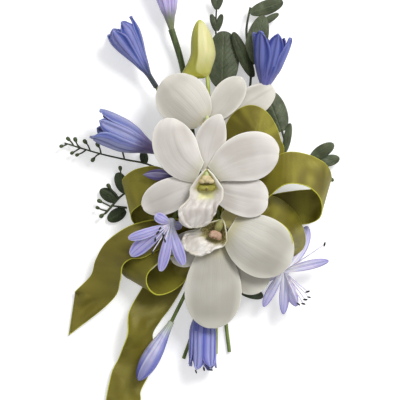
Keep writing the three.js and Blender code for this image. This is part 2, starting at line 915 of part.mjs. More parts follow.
/** The green bud with the spur that its lateral sepals form at the foot. */
function buddingOrchid(grow) {
  const { spurLength, spurRadius, spurFootRadius, spurFullestShare } = orchidBud;
  const form = {
    length: spurLength,
    radius: spurRadius,
    footRadius: spurFootRadius,
    fullestShare: spurFullestShare,
  };
  const place = new THREE.Vector3(spurFootRadius, orchidBud.spurRise, 0);
  const spur = placed(longBud(form, grow), place, { heading: orchidBud.spurHeading });
  return longBud(orchidBud, grow).add(spur);
}
addPiece(corsage, "orchid_bud", finishes.bud, buddingOrchid, orchidBud);

const longVioletBud = {
  rootShares: [-0.072, -0.308, 0.215],
  heading: 240.5,
  pitch: -1,
  length: 31,
  radius: 4.3,
  footRadius: 1.4,
  fullestShare: 0.64,
};
addPiece(corsage, "lower_violet_bud", finishes.violet, (grow) => longBud(longVioletBud, grow), longVioletBud);
const smallVioletBud = {
  rootShares: [-0.06, 0.062, 0.5],
  heading: 179,
  pitch: 3,
  length: 15,
  radius: 2.7,
  footRadius: 1.3,
  fullestShare: 0.5,
};
addPiece(corsage, "small_violet_bud", finishes.violet, (grow) => longBud(smallVioletBud, grow), smallVioletBud);

// The stems

addStem("front_bloom_stem", finishes.stem, stem.wireRadius, stemRoute(columns.middle, "high", [
  [0.016, 0.05, 0.7],
  [0.017, 0.035, 0.52],
  [0.024, 0.01, 0.3],
]));
addStem("back_bloom_stem", finishes.stem, stem.wireRadius, stemRoute(columns.nearLeft, "high", [
  [0.018, 0.19, 0.43],
  [0.013, 0.13, 0.3],
  [0.013, 0.04, 0.22],
]));
addStem("lower_bloom_stem", finishes.stem, stem.wireRadius, stemRoute(columns.nearRight, "high", [
  [0.047, -0.07, 0.5],
  [0.047, -0.035, 0.44],
  [0.045, -0.012, 0.3],
]));
addStem("orchid_bud_stem", finishes.stem, stem.radius, stemRoute(columns.middle, "middle", [
  [0.018, 0.315, 0.4],
  [0.022, 0.26, 0.36],
  [0.024, 0.12, 0.2],
], [[0.04, -0.3, 0.03], [0.041, -0.393, 0.025]]));
addStem("upper_left_bell_stem", finishes.stem, stem.radius, stemRoute(columns.farLeft, "low", [
  [-0.107, 0.28, 0.2],
  [-0.075, 0.2, 0.14],
  [-0.03, 0.06, 0.07],
], [[-0.018, -0.33, 0.03], [-0.042, -0.405, 0.025]]));
addStem("top_bell_stem", finishes.stem, stem.radius, stemRoute(columns.nearLeft, "low", [
  [-0.071, 0.428, 0.17],
  [-0.045, 0.34, 0.13],
  [-0.012, 0.12, 0.07],
], [[0.028, -0.3, 0.03], [0.03, -0.36, 0.025]]));
addStem("left_bell_stem", finishes.stem, stem.radius, stemRoute(columns.farLeft, "middle", [
  [-0.1, 0.12, 0.3],
  [-0.07, 0.085, 0.22],
  [-0.02, 0.0, 0.13],
]));
addStem("small_violet_bud_stem", finishes.stem, stem.wireRadius, stemRoute(columns.nearLeft, "middle", [
  [-0.056, 0.062, 0.5],
  [-0.03, 0.05, 0.36],
  [0.0, 0.0, 0.16],
]));
addStem("left_floret_stem", finishes.stem, stem.radius, stemRoute(columns.left, "middle", [
  [-0.068, -0.05, 0.52],
  [-0.05, -0.02, 0.38],
  [-0.022, -0.008, 0.17],
]));
addStem("right_bell_stem", finishes.stem, stem.radius, stemRoute(columns.farRight, "middle", [
  [0.162, 0.278, 0.25],
  [0.13, 0.16, 0.14],
  [0.075, 0.02, 0.12],
], [[0.065, -0.3, 0.03], [0.075, -0.388, 0.025]]));
addStem("right_floret_stem", finishes.stem, stem.radius, stemRoute(columns.right, "middle", [], [
  [0.13, -0.16, 0.12],
  [0.2, -0.178, 0.18],
]));
addStem("bottom_bell_stem", finishes.stem, stem.radius, stemRoute(columns.nearRight, "middle", [], [
  [0.03, -0.2, 0.14],
  [0.011, -0.256, 0.17],
]));
addStem("lower_violet_bud_stem", finishes.stem, stem.radius, stemRoute(columns.farLeft, "high", [], [
  [-0.02, -0.2, 0.2],
  [-0.0714, -0.3062, 0.215],
]));

// The leafy twigs: stems, leaves on them and small buds, each grown as one piece

const leafForm = { bend: 10, crown: 0.5, fold: 0.4, fullestShare: 0.5, bluntShare: 0.48, clawShare: 0.25 };
const budStalkRadius = 0.3;
const broadLeafWidth = 9;

/** One twig from its routes, leaves and buds. */
function twig(form, grow) {
  const parts = form.routes.map((route) => barAlong(route, form.radius, grow, twigSides));
  for (const leaf of Object.values(form.leaves)) {
    const grid = leaf.width > broadLeafWidth ? leafGrid : smallGrid;
    const solid = blade({ ...leafForm, ...leaf }, leafThickness, grow, grid);
    parts.push(placed(solid, spot(leaf.rootShares), leaf));
  }
  for (const [x, y, footX, footY] of form.budShares ?? []) {
    const [bud, foot] = [spot([x, y, form.budHeightShare]), spot([footX, footY, form.footHeightShare])];
    parts.push(barAlong([foot, bud], budStalkRadius, grow, hairSides));
    const size = form.budRadius + grow;
    parts.push(placed(grain(size, size, size), bud));
  }
  return joined(parts);
}

const seedTwig = {
  radius: 0.55,
  routes: [
    stemRoute(columns.middle, "low", [
      [0.043, 0.5, 0.13],
      [0.04, 0.43, 0.13],
      [0.052, 0.34, 0.14],
      [0.055, 0.27, 0.13],
      [0.048, 0.12, 0.07],
    ]),
  ],
  leaves: {
    broad: {
      rootShares: [0.056, 0.285, 0.14],
      heading: 88,
      pitch: 6,
      length: 26,
      width: 14.5,
      bluntShare: 0.54,
    },
    lowLeft: {
      rootShares: [0.042, 0.43, 0.13],
      heading: 108,
      pitch: 8,
      length: 8,
      width: 2.6,
      clawShare: 0.5,
    },
    lowRight: {
      rootShares: [0.042, 0.43, 0.13],
      heading: 72,
      pitch: 8,
      length: 8,
      width: 2.6,
      clawShare: 0.5,
    },
    topLeft: {
      rootShares: [0.043, 0.485, 0.13],
      heading: 110,
      pitch: 8,
      length: 7,
      width: 2.4,
      clawShare: 0.5,
    },
    topRight: {
      rootShares: [0.043, 0.485, 0.13],
      heading: 70,
      pitch: 8,
      length: 7,
      width: 2.4,
      clawShare: 0.5,
    },
  },
};
const topTwig = {
  radius: stem.twigRadius,
  routes: [
    stemRoute(columns.nearRight, "low", [
      [0.128, 0.49, 0.12],
      [0.118, 0.43, 0.12],
      [0.13, 0.33, 0.12],
      [0.112, 0.2, 0.1],
      [0.072, 0.06, 0.06],
    ]),
    [
      [0.12, 0.42, 0.12],
      [0.14, 0.434, 0.115],
      [0.153, 0.446, 0.12],
    ].map(spot),
  ],
  leaves: {
    crescent: {
      rootShares: [0.135, 0.312, 0.16],
      heading: 112,
      pitch: 6,
      length: 22.5,
      width: 6,
      roll: 24,
    },
    grey: { rootShares: [0.128, 0.345, 0.13], heading: 75, pitch: 11, length: 23, width: 9.5 },
    narrow: { rootShares: [0.15, 0.444, 0.12], heading: 31, pitch: 6, length: 10.5, width: 2.8 },
    curled: {
      rootShares: [0.127, 0.476, 0.13],
      heading: 18,
      pitch: 14,
      length: 16,
      width: 6.4,
      fold: 1.4,
    },
  },
};
const rightTwig = {
  radius: stem.twigRadius,
  routes: [
    stemRoute(columns.right, "low", [
      [0.208, 0.18, 0.11],
      [0.216, 0.13, 0.1],
      [0.17, 0.05, 0.08],
      [0.12, 0.0, 0.06],
    ]),
    [
      [0.17, 0.05, 0.08],
      [0.22, 0.09, 0.1],
      [0.29, 0.108, 0.12],
      [0.332, 0.055, 0.13],
    ].map(spot),
  ],
  leaves: {
    broad: {
      rootShares: [0.208, 0.174, 0.11],
      heading: 111,
      pitch: 4,
      length: 20,
      width: 11.5,
      bluntShare: 0.55,
    },
    narrow: { rootShares: [0.216, 0.122, 0.1], heading: 80, pitch: 12, length: 13.5, width: 3.2 },
    upper: { rootShares: [0.282, 0.106, 0.125], heading: 32, pitch: 17, length: 12.5, width: 5.6 },
    lower: { rootShares: [0.304, 0.094, 0.12], heading: 14, pitch: 3, length: 9.5, width: 5 },
  },
  budShares: [[0.335, 0.0525, 0.326, 0.064]],
  budHeightShare: 0.13,
  footHeightShare: 0.13,
  budRadius: 1,
};
const underTwig = {
  radius: stem.twigRadius,
  routes: [stemRoute(columns.farRight, "low", [], [[0.08, -0.2, 0.05], [0.1, -0.225, 0.05]])],
  leaves: {
    under: { rootShares: [0.085, -0.214, 0.06], heading: -22, pitch: 3, length: 15, width: 6, roll: -20 },
  },
};
const leftTwig = {
  radius: 0.5,
  routes: [
    stemRoute(columns.left, "low", [
      [-0.345, 0.145, 0.09],
      [-0.255, 0.118, 0.09],
      [-0.19, 0.103, 0.08],
      [-0.13, 0.09, 0.06],
      [-0.06, 0.05, 0.05],
    ]),
    [
      [-0.192, 0.103, 0.08],
      [-0.202, 0.14, 0.09],
    ].map(spot),
    [
      [-0.06, 0.05, 0.05],
      [-0.13, 0.035, 0.05],
      [-0.19, 0.018, 0.075],
      [-0.242, -0.035, 0.08],
    ].map(spot),
    [
      [-0.222, -0.015, 0.07],
      [-0.186, -0.02, 0.06],
    ].map(spot),
  ],
  leaves: {
    middle: { rootShares: [-0.21, -0.002, 0.07], heading: 148, pitch: 4, length: 9.5, width: 5.6 },
    upper: { rootShares: [-0.19, 0.018, 0.075], heading: 112, pitch: 5, length: 10, width: 5.6 },
    round: { rootShares: [-0.19, -0.025, 0.06], heading: 211, pitch: 2, length: 9.5, width: 5.8 },
    stray: { rootShares: [-0.14, 0.092, 0.06], heading: 100, pitch: 10, length: 6, width: 3.6 },
  },
  budShares: [
    [-0.335, 0.155, -0.322, 0.138],
    [-0.317, 0.153, -0.305, 0.133],
    [-0.292, 0.148, -0.28, 0.126],
    [-0.26, 0.14, -0.252, 0.117],
    [-0.352, 0.137, -0.338, 0.143],
    [-0.325, 0.12, -0.305, 0.133],
    [-0.312, 0.115, -0.29, 0.128],
    [-0.272, 0.103, -0.255, 0.118],
    [-0.205, 0.148, -0.202, 0.14],
    [-0.255, -0.003, -0.225, -0.018],
    [-0.26, -0.02, -0.235, -0.028],
    [-0.25, -0.04, -0.242, -0.035],
    [-0.232, 0.035, -0.205, 0.003],
    [-0.203, 0.08, -0.192, 0.017],
  ],
  budHeightShare: 0.1,
  footHeightShare: 0.08,
  budRadius: 1,
};
const twigs = {
  seed_twig: seedTwig,
  top_eucalyptus: topTwig,
  right_eucalyptus: rightTwig,
  lower_leaf_twig: underTwig,
  left_leafy_twig: leftTwig,
};
for (const [name, form] of Object.entries(twigs))
  addPiece(corsage, name, name.includes("left") ? finishes.sprig : finishes.leaf, (grow) => twig(form, grow));

// The bow. A ribbon runs through stations: its middle, the turn and lean of its width as shares of
// a full turn, and its width there as a share of the ribbon's width.

const bandRowsPerStation = 2;

/** A band of ribbon through its stations. */
function band(stationShares, grow) {
  const middles = stationShares.map(([x, y, z]) => spot([x, y, z]));
  const widths = stationShares.map(([, , , headingShare, leanShare, widthShare]) => {
    const [turn, lean] = [headingShare * fullTurn, leanShare * fullTurn];
    const flat = widthShare * Math.cos(lean);
    return new THREE.Vector3(flat * Math.cos(turn), flat * Math.sin(turn), widthShare * Math.sin(lean));
  });
  const middle = new THREE.CatmullRomCurve3(middles, false, "catmullrom", 0.5);
  const width = new THREE.CatmullRomCurve3(widths, false, "catmullrom", 0.5);
  const surface = (along, across) => {
    const half = width.getPoint(along);
    half.multiplyScalar((across * (ribbon.width + 2 * grow)) / 2);
    return middle.getPoint(along).add(half);
  };
  const rows = bandRowsPerStation * (stationShares.length - 1);
  return thinBody(surface, rows, 2, () => ribbon.thickness + 2 * grow, true);
}

const upperLoopShares = [
  [0.035, -0.06, 0.34, -0.056, 0.167, 0.5],
  [0.052, 0.025, 0.41, -0.056, 0.153, 0.7],
  [0.074, 0.105, 0.46, -0.05, 0.125, 1],
  [0.0945, 0.166, 0.48, -0.1, 0.09, 1],
  [0.114, 0.194, 0.49, -0.15, 0.085, 1],
  [0.135, 0.201, 0.49, -0.22, 0.082, 1],
  [0.15, 0.189, 0.48, -0.31, 0.082, 1],
  [0.159, 0.168, 0.46, -0.397, 0.085, 1],
  [0.167, 0.144, 0.44, -0.46, 0.09, 1],
  [0.176, 0.118, 0.4, -0.505, 0.105, 1],
  [0.15, 0.05, 0.36, -0.565, 0.14, 0.8],
  [0.075, -0.04, 0.33, -0.625, 0.167, 0.5],
  [0.04, -0.06, 0.34, -0.625, 0.167, 0.45],
];
const rightLoopShares = [
  [0.04, -0.06, 0.34, 0.222, -0.028, 0.5],
  [0.09, -0.015, 0.43, 0.264, -0.03, 0.7],
  [0.155, 0.038, 0.48, 0.262, -0.045, 1],
  [0.21, 0.0775, 0.54, 0.25, -0.065, 1],
  [0.2625, 0.076, 0.54, 0.24, -0.07, 1],
  [0.304, 0.0525, 0.5, 0.205, -0.07, 1],
  [0.3185, 0.021, 0.4, 0.2, -0.065, 1],
  [0.311, -0.005, 0.28, 0.21, -0.04, 1],
  [0.281, -0.016, 0.19, 0.235, 0, 1],
  [0.2425, -0.02, 0.15, 0.25, 0, 1],
  [0.1875, -0.03, 0.15, 0.26, 0, 1],
  [0.12, -0.045, 0.2, 0.26, 0, 0.8],
  [0.075, -0.06, 0.29, 0.25, 0, 0.5],
  [0.04, -0.06, 0.32, 0.25, 0, 0.45],
];
const lowerRightLoopShares = [
  [0.04, -0.06, 0.34, -0.25, 0.167, 0.45],
  [0.112, -0.025, 0.37, -0.25, 0.15, 0.8],
  [0.175, -0.018, 0.37, -0.28, 0.135, 1],
  [0.219, -0.042, 0.38, -0.36, 0.16, 1],
  [0.244, -0.08, 0.38, -0.444, 0.18, 1],
  [0.246, -0.115, 0.37, -0.514, 0.183, 1],
  [0.215, -0.142, 0.32, -0.625, 0.183, 1],
  [0.155, -0.148, 0.28, -0.736, 0.181, 1],
  [0.09, -0.12, 0.31, -0.8, 0.181, 0.6],
  [0.04, -0.07, 0.34, -0.83, 0.167, 0.45],
];
const leftUpperLoopShares = [
  [0.02, -0.06, 0.34, 0.278, 0, 0.45],
  [-0.035, 0.01, 0.42, 0.292, -0.014, 0.8],
  [-0.088, 0.042, 0.45, 0.306, -0.022, 1],
  [-0.142, 0.038, 0.42, 0.3, -0.022, 1],
  [-0.175, 0.02, 0.36, 0.292, -0.014, 1],
  [-0.185, 0.002, 0.27, 0.289, 0, 1],
  [-0.172, -0.02, 0.18, 0.283, 0, 1],
  [-0.132, -0.035, 0.15, 0.278, 0, 1],
  [-0.075, -0.042, 0.2, 0.272, 0, 0.8],
  [-0.015, -0.055, 0.3, 0.264, 0, 0.5],
  [0.02, -0.06, 0.32, 0.264, 0, 0.45],
];
const leftLowerLoopShares = [
  [0.02, -0.07, 0.32, -0.167, 0.06, 0.45],
  [-0.04, -0.095, 0.31, -0.139, 0.08, 0.8],
  [-0.09, -0.112, 0.33, -0.125, 0.08, 1],
  [-0.135, -0.135, 0.38, -0.097, 0.08, 1],
  [-0.165, -0.168, 0.36, -0.083, 0.08, 1],
  [-0.165, -0.2, 0.3, -0.078, 0.08, 1],
  [-0.142, -0.22, 0.22, -0.083, 0.08, 1],
  [-0.105, -0.21, 0.17, -0.097, 0.08, 1],
  [-0.068, -0.18, 0.18, -0.117, 0.08, 1],
  [-0.03, -0.135, 0.24, -0.139, 0.08, 0.8],
  [0.015, -0.08, 0.31, -0.153, 0.06, 0.45],
];
const leftTailShares = [
  [0.02, -0.062, 0.36, 0.278, 0, 0.45],
  [-0.05, -0.078, 0.41, 0.278, 0, 0.7],
  [-0.108, -0.086, 0.41, 0.285, 0, 0.85],
  [-0.16, -0.105, 0.42, 0.32, -0.02, 1],
  [-0.204, -0.126, 0.36, 0.4, -0.085, 1],
  [-0.229, -0.158, 0.3, 0.464, -0.1, 1],
  [-0.239, -0.1975, 0.24, 0.472, -0.08, 1],
  [-0.268, -0.241, 0.13, 0.45, 0, 1.05],
  [-0.327, -0.29, 0.04, 0.226, 0, 1.3],
];
const bottomTailShares = [
  [0.02, -0.07, 0.33, 0.45, 0, 0.45],
  [-0.038, -0.115, 0.22, 0.403, 0.05, 0.7],
  [-0.062, -0.165, 0.07, 0.417, 0.02, 0.85],
  [-0.085, -0.205, 0.045, 0.417, 0, 1],
  [-0.112, -0.25, 0.06, 0.41, 0.01, 1],
  [-0.14, -0.295, 0.11, 0.458, 0.05, 1],
  [-0.152, -0.34, 0.165, 0.49, 0.125, 1],
  [-0.156, -0.38, 0.12, 0.485, 0.06, 1],
  [-0.167, -0.42, 0.07, 0.45, 0, 1],
  [-0.1875, -0.462, 0.07, 0.41, 0, 1],
  [-0.195, -0.508, 0.06, 0.48, 0, 1],
  [-0.2, -0.565, 0.04, 0.4, 0, 1.1],
];

const knotSeat = bundleHeight + knot.height / 2 + clearance;
const knotPlace = new THREE.Vector3(bundleCentre.x, bundleCentre.y + knot.length / 2, knotSeat);

/** The room that the bands stop at, beside the knot. */
function knotRoom(grow) {
  const sizes = [knot.width, knot.length, knot.height].map((size) => size + 2 * grow);
  return placed(solidFrom(new THREE.BoxGeometry(...sizes)), knotPlace);
}

/** The knot: a squarish pillow of ribbon with folds along it. */
function bowKnot(grow) {
  const { length, width, height, foldDepth, folds, roundness } = knot;
  const ball = new THREE.IcosahedronGeometry(1, 2);
  const places = ball.attributes.position;
  const square = (share) => Math.sign(share) * Math.abs(share) ** roundness;
  for (let i = 0; i < places.count; i++) {
    const [x, y, z] = [places.getX(i), places.getY(i), places.getZ(i)];
    const fold = (foldDepth / height) * Math.cos(folds * Math.PI * x) * Math.sqrt(1 - Math.min(z ** 2, 1));
    places.setXYZ(i, square(x), square(y) * (1 - fold), square(z));
  }
  const size = new THREE.Vector3(width / 2 + grow, length / 2 + grow, height / 2 + grow);
  const unturned = new THREE.Quaternion();
  return solidFrom(ball).transform(new THREE.Matrix4().compose(knotPlace, unturned, size).elements);
}
addPiece(corsage, "bow_knot", finishes.ribbon, bowKnot, { path: knotRoom });

const bands = {
  bow_upper_right_loop: upperLoopShares,
  bow_right_loop: rightLoopShares,
  bow_lower_right_loop: lowerRightLoopShares,
  bow_left_tail: leftTailShares,
  bow_left_upper_loop: leftUpperLoopShares,
  bow_left_lower_loop: leftLowerLoopShares,
  bow_bottom_tail: bottomTailShares,
};
for (const [name, stationShares] of Object.entries(bands))
  addPiece(corsage, name, finishes.ribbon, (grow) => band(stationShares, grow));

addPiece(corsage, "bundle_tape", finishes.tape, tapedBundle);

fitTogether();

// The origin: on the table, under the middle of the whole spray
corsage.updateMatrixWorld(true);
const whole = new THREE.Box3().setFromObject(corsage);
const middle = whole.getCenter(new THREE.Vector3());
corsage.position.set(-middle.x, -middle.y, -whole.min.z);

export default corsage;
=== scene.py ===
# An orchid corsage on its back, seen from straight above: white blooms, a green bud, violet
# florets, leaf sprigs and a satin bow on one taped bundle, with a pearl-headed pin through it.
# Shapes are made in millimetres on the layout square that the spray is laid out on.
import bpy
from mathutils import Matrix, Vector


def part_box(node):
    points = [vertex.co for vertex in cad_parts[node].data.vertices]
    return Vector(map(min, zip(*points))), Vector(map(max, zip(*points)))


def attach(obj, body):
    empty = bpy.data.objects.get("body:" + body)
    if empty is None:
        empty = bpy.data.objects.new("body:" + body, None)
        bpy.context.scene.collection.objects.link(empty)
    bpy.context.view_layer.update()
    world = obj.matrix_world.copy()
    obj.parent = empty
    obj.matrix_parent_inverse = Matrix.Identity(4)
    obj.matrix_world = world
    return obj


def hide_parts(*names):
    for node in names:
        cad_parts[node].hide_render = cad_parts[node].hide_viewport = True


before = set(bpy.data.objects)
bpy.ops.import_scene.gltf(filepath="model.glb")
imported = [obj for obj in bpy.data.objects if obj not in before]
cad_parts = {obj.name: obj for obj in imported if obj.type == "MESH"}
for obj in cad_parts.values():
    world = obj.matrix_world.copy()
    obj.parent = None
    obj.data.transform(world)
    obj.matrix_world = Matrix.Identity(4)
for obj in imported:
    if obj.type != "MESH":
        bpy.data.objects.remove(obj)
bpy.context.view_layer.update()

import math

import bpy
import numpy as np
from mathutils import Vector

LAYOUT_SIDE = 180.0
LAYOUT_HEIGHT = 40.0
FULL_TURN = 2 * math.pi
BUNDLE_CENTRE = (5.4, -14.4)

tape_low, tape_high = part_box("bundle_tape")
LAYOUT_SHIFT = np.array([
    (tape_low.x + tape_high.x) * 500 - BUNDLE_CENTRE[0],
    (tape_low.y + tape_high.y) * 500 - BUNDLE_CENTRE[1],
    0.0,
])

PETAL_THICKNESS = 0.9
LIP_THICKNESS = 0.9
LEAF_THICKNESS = 0.7
TEPAL_THICKNESS = 0.6
RIBBON_WIDTH = 16.0
RIBBON_THICKNESS = 0.36

# The forms. A place is [x, y, z] in shares of the layout square and its height.
FRONT_BLOOM = {
    "column": dict(
        root_shares=[0.016, 0.045, 0.826], heading=-90, pitch=-6, length=9.5, width=6.4, height=4.6,
    ),
    "lip": dict(
        root_shares=[0.017, 0.077, 0.88], heading=-91, pitch=2, length=26.25, width=16.5,
        throat_width=11.6, depth=5.6, droop=5, frill=0.9,
    ),
    "left_petal": dict(
        root_shares=[-0.001, 0.068, 0.79], heading=116, pitch=10, length=29.5, width=19.5, sway=80,
        bend=28, crown=2.2, fullest_share=0.56, blunt_share=0.55, claw_share=0.5,
    ),
    "right_petal": dict(
        root_shares=[0.034, 0.064, 0.79], heading=17, pitch=9, length=31.5, width=21.5, sway=46,
        bend=26, crown=2.2, fullest_share=0.6, blunt_share=0.56, claw_share=0.4,
    ),
    "dorsal_sepal": dict(
        root_shares=[0.015, 0.074, 0.73], heading=75, pitch=8, length=26, width=13.5, sway=26, bend=14,
        crown=0.4, fold=1.2, fullest_share=0.5, blunt_share=0.3, claw_share=0.6,
    ),
    "left_lateral_sepal": dict(
        root_shares=[-0.008, 0.042, 0.73], heading=204, pitch=2, length=27, width=15, bend=20,
        crown=1.2, fullest_share=0.56, blunt_share=0.52, claw_share=0.4,
    ),
    "right_lateral_sepal": dict(
        root_shares=[0.03, 0.032, 0.73], heading=-13, pitch=2, length=26, width=18, sway=-14, bend=18,
        crown=1, wave=0.7, fullest_share=0.64, blunt_share=0.64, claw_share=0.45,
    ),
}
LOWER_BLOOM = {
    "column": dict(
        root_shares=[0.045, -0.07, 0.645], heading=-110, pitch=-8, length=9, width=6, height=4.4,
    ),
    "lip": dict(
        root_shares=[0.057, -0.05, 0.665], heading=-122, pitch=-2, length=20.475, width=14,
        throat_width=10, depth=4.8, droop=2.2, frill=0.9,
    ),
    "right_petal": dict(
        root_shares=[0.074, -0.069, 0.625], heading=-31, pitch=8, length=32, width=27, bend=26, crown=3,
        fullest_share=0.54, blunt_share=0.56, claw_share=0.4,
    ),
    "lower_sepal": dict(
        root_shares=[0.035, -0.113, 0.525], heading=-91, pitch=4.5, length=38, width=25.5, bend=20,
        crown=2.8, fullest_share=0.58, blunt_share=0.54, claw_share=0.42,
    ),
    "dorsal_sepal": dict(
        root_shares=[0.06, -0.058, 0.57], heading=30, pitch=0, length=20, width=13, bend=10, crown=0.8,
        fullest_share=0.5, blunt_share=0.45, claw_share=0.5,
    ),
    "left_petal": dict(
        root_shares=[0.018, -0.09, 0.495], heading=214, pitch=-4, length=20, width=15, bend=14, crown=1,
        fullest_share=0.56, blunt_share=0.54, claw_share=0.45,
    ),
    "right_lateral_sepal": dict(
        root_shares=[0.055, -0.1, 0.475], heading=-50, pitch=2, length=29.5, width=19, bend=16,
        crown=1.6, fullest_share=0.62, blunt_share=0.6, claw_share=0.4,
    ),
}
BACK_BLOOM = {
    "column": dict(
        root_shares=[0.018, 0.186, 0.56], heading=-90, pitch=-6, length=8, width=5.4, height=3.6,
    ),
    "left_petal": dict(
        root_shares=[0.009, 0.196, 0.5], heading=134, pitch=8, length=26.5, width=23.5, bend=24,
        crown=2.4, fullest_share=0.52, blunt_share=0.52, claw_share=0.35,
    ),
    "dorsal_sepal": dict(
        root_shares=[0.023, 0.2, 0.445], heading=52, pitch=5, length=24.5, width=13.5, bend=14,
        crown=1.4, fullest_share=0.56, blunt_share=0.45, claw_share=0.45,
    ),
    "right_petal": dict(
        root_shares=[0.034, 0.184, 0.385], heading=33, pitch=1, length=33, width=14, bend=14, crown=1.2,
        fullest_share=0.58, blunt_share=0.5, claw_share=0.4,
    ),
}
# A tepal is its heading, length, pitch and width: a share of a turn, of the floret's reach, of a turn
# and of its tepals' own width. A stamen has the first three.
LEFT_FLORET = dict(
    root_shares=[-0.073, -0.058, 0.64], reach=20, bend=16, sways=(14, -10, 8, -12, 10, -8),
    tepal=dict(width=4.6, fullest_share=0.66, blunt_share=0.5),
    tepal_shares=[
        [0.554, 1.02, 0.015, 0.95], [0.608, 1.2, -0.012, 1.5], [0.716, 1.12, 0, 1.05],
        [0.798, 1, 0, 1.1], [0.42, 0.42, 0.08, 1], [0.95, 0.36, -0.1, 0.8],
    ],
    stamen_shares=[
        [0.6, 0.42, 0.09], [0.66, 0.38, 0.1], [0.57, 0.34, 0.11], [0.7, 0.46, 0.08], [0.63, 0.55, 0.07],
        [0.66, 0.78, 0.04],
    ],
)
RIGHT_FLORET = dict(
    root_shares=[0.212, -0.18, 0.28], reach=21, bend=14, sways=(4, -10, 8, -12, 10, -22),
    tepal=dict(width=4.1, fullest_share=0.6, blunt_share=0.4),
    tepal_shares=[
        [0.036, 1, 0.012, 1], [0.806, 0.82, 0.004, 1.25], [0.748, 0.94, 0.012, 1.05],
        [0.668, 0.9, 0.004, 1], [0.555, 0.8, -0.01, 0.9], [0.17, 1.2, -0.04, 1.7],
    ],
    stamen_shares=[
        [0.835, 0.84, 0.045], [0.852, 0.8, 0.055], [0.872, 0.82, 0.06], [0.095, 1.08, 0.04],
        [0.815, 0.8, 0.05], [0.887, 0.72, 0.065],
    ],
)
BOTTOM_STAMENS = dict(
    root_shares=[0.01, -0.345, 0.175], reach=17,
    stamen_shares=[[0.715, 0.98, 0], [0.75, 0.88, 0.005], [0.782, 0.93, 0]],
)
BELLS = {
    "upper_left_bell": dict(
        root_shares=[-0.11, 0.285, 0.2], heading=122, pitch=3, length=33, mouth_radius=7.4, split=0.78,
        curls=(-2.4, 0.2), swell=(0.15, 0.93),
    ),
    "top_bell": dict(
        root_shares=[-0.072, 0.432, 0.17], heading=99, pitch=3, length=27, mouth_radius=6.2,
    ),
    "left_bell": dict(
        root_shares=[-0.107, 0.123, 0.3], heading=156, pitch=4, length=31, mouth_radius=7.3, split=0.72,
        curls=(-1.6, 0.8), swell=(-0.12, 0.62), twist=0.3,
    ),
    "right_bell": dict(
        root_shares=[0.163, 0.283, 0.26], heading=81, pitch=3, length=24.5, mouth_radius=8.2, split=0.5,
        point=1.5, curls=(-0.2, 2.4), flare=0.7, twist=0.2,
    ),
    "bottom_bell": dict(
        root_shares=[0.009, -0.262, 0.17], heading=269, pitch=1, length=30, mouth_radius=5.9, split=0.76,
        curls=(-0.6, 1.4), swell=(-0.2, 0.5),
    ),
}
ORCHID_BUD = dict(
    root_shares=[0.016, 0.31, 0.4], heading=97, pitch=2, length=26, radius=5.5, foot_radius=1.8,
    fullest_share=0.42, point=0.12,
)
VIOLET_BUDS = {
    "lower_violet_bud": dict(
        root_shares=[-0.072, -0.308, 0.215], heading=240.5, pitch=-1, length=31, radius=4.3,
        foot_radius=1.4, fullest_share=0.64, point=0.15,
    ),
    "small_violet_bud": dict(
        root_shares=[-0.06, 0.062, 0.5], heading=179, pitch=3, length=15, radius=2.7, foot_radius=1.3,
        fullest_share=0.5, point=0.5,
    ),
}
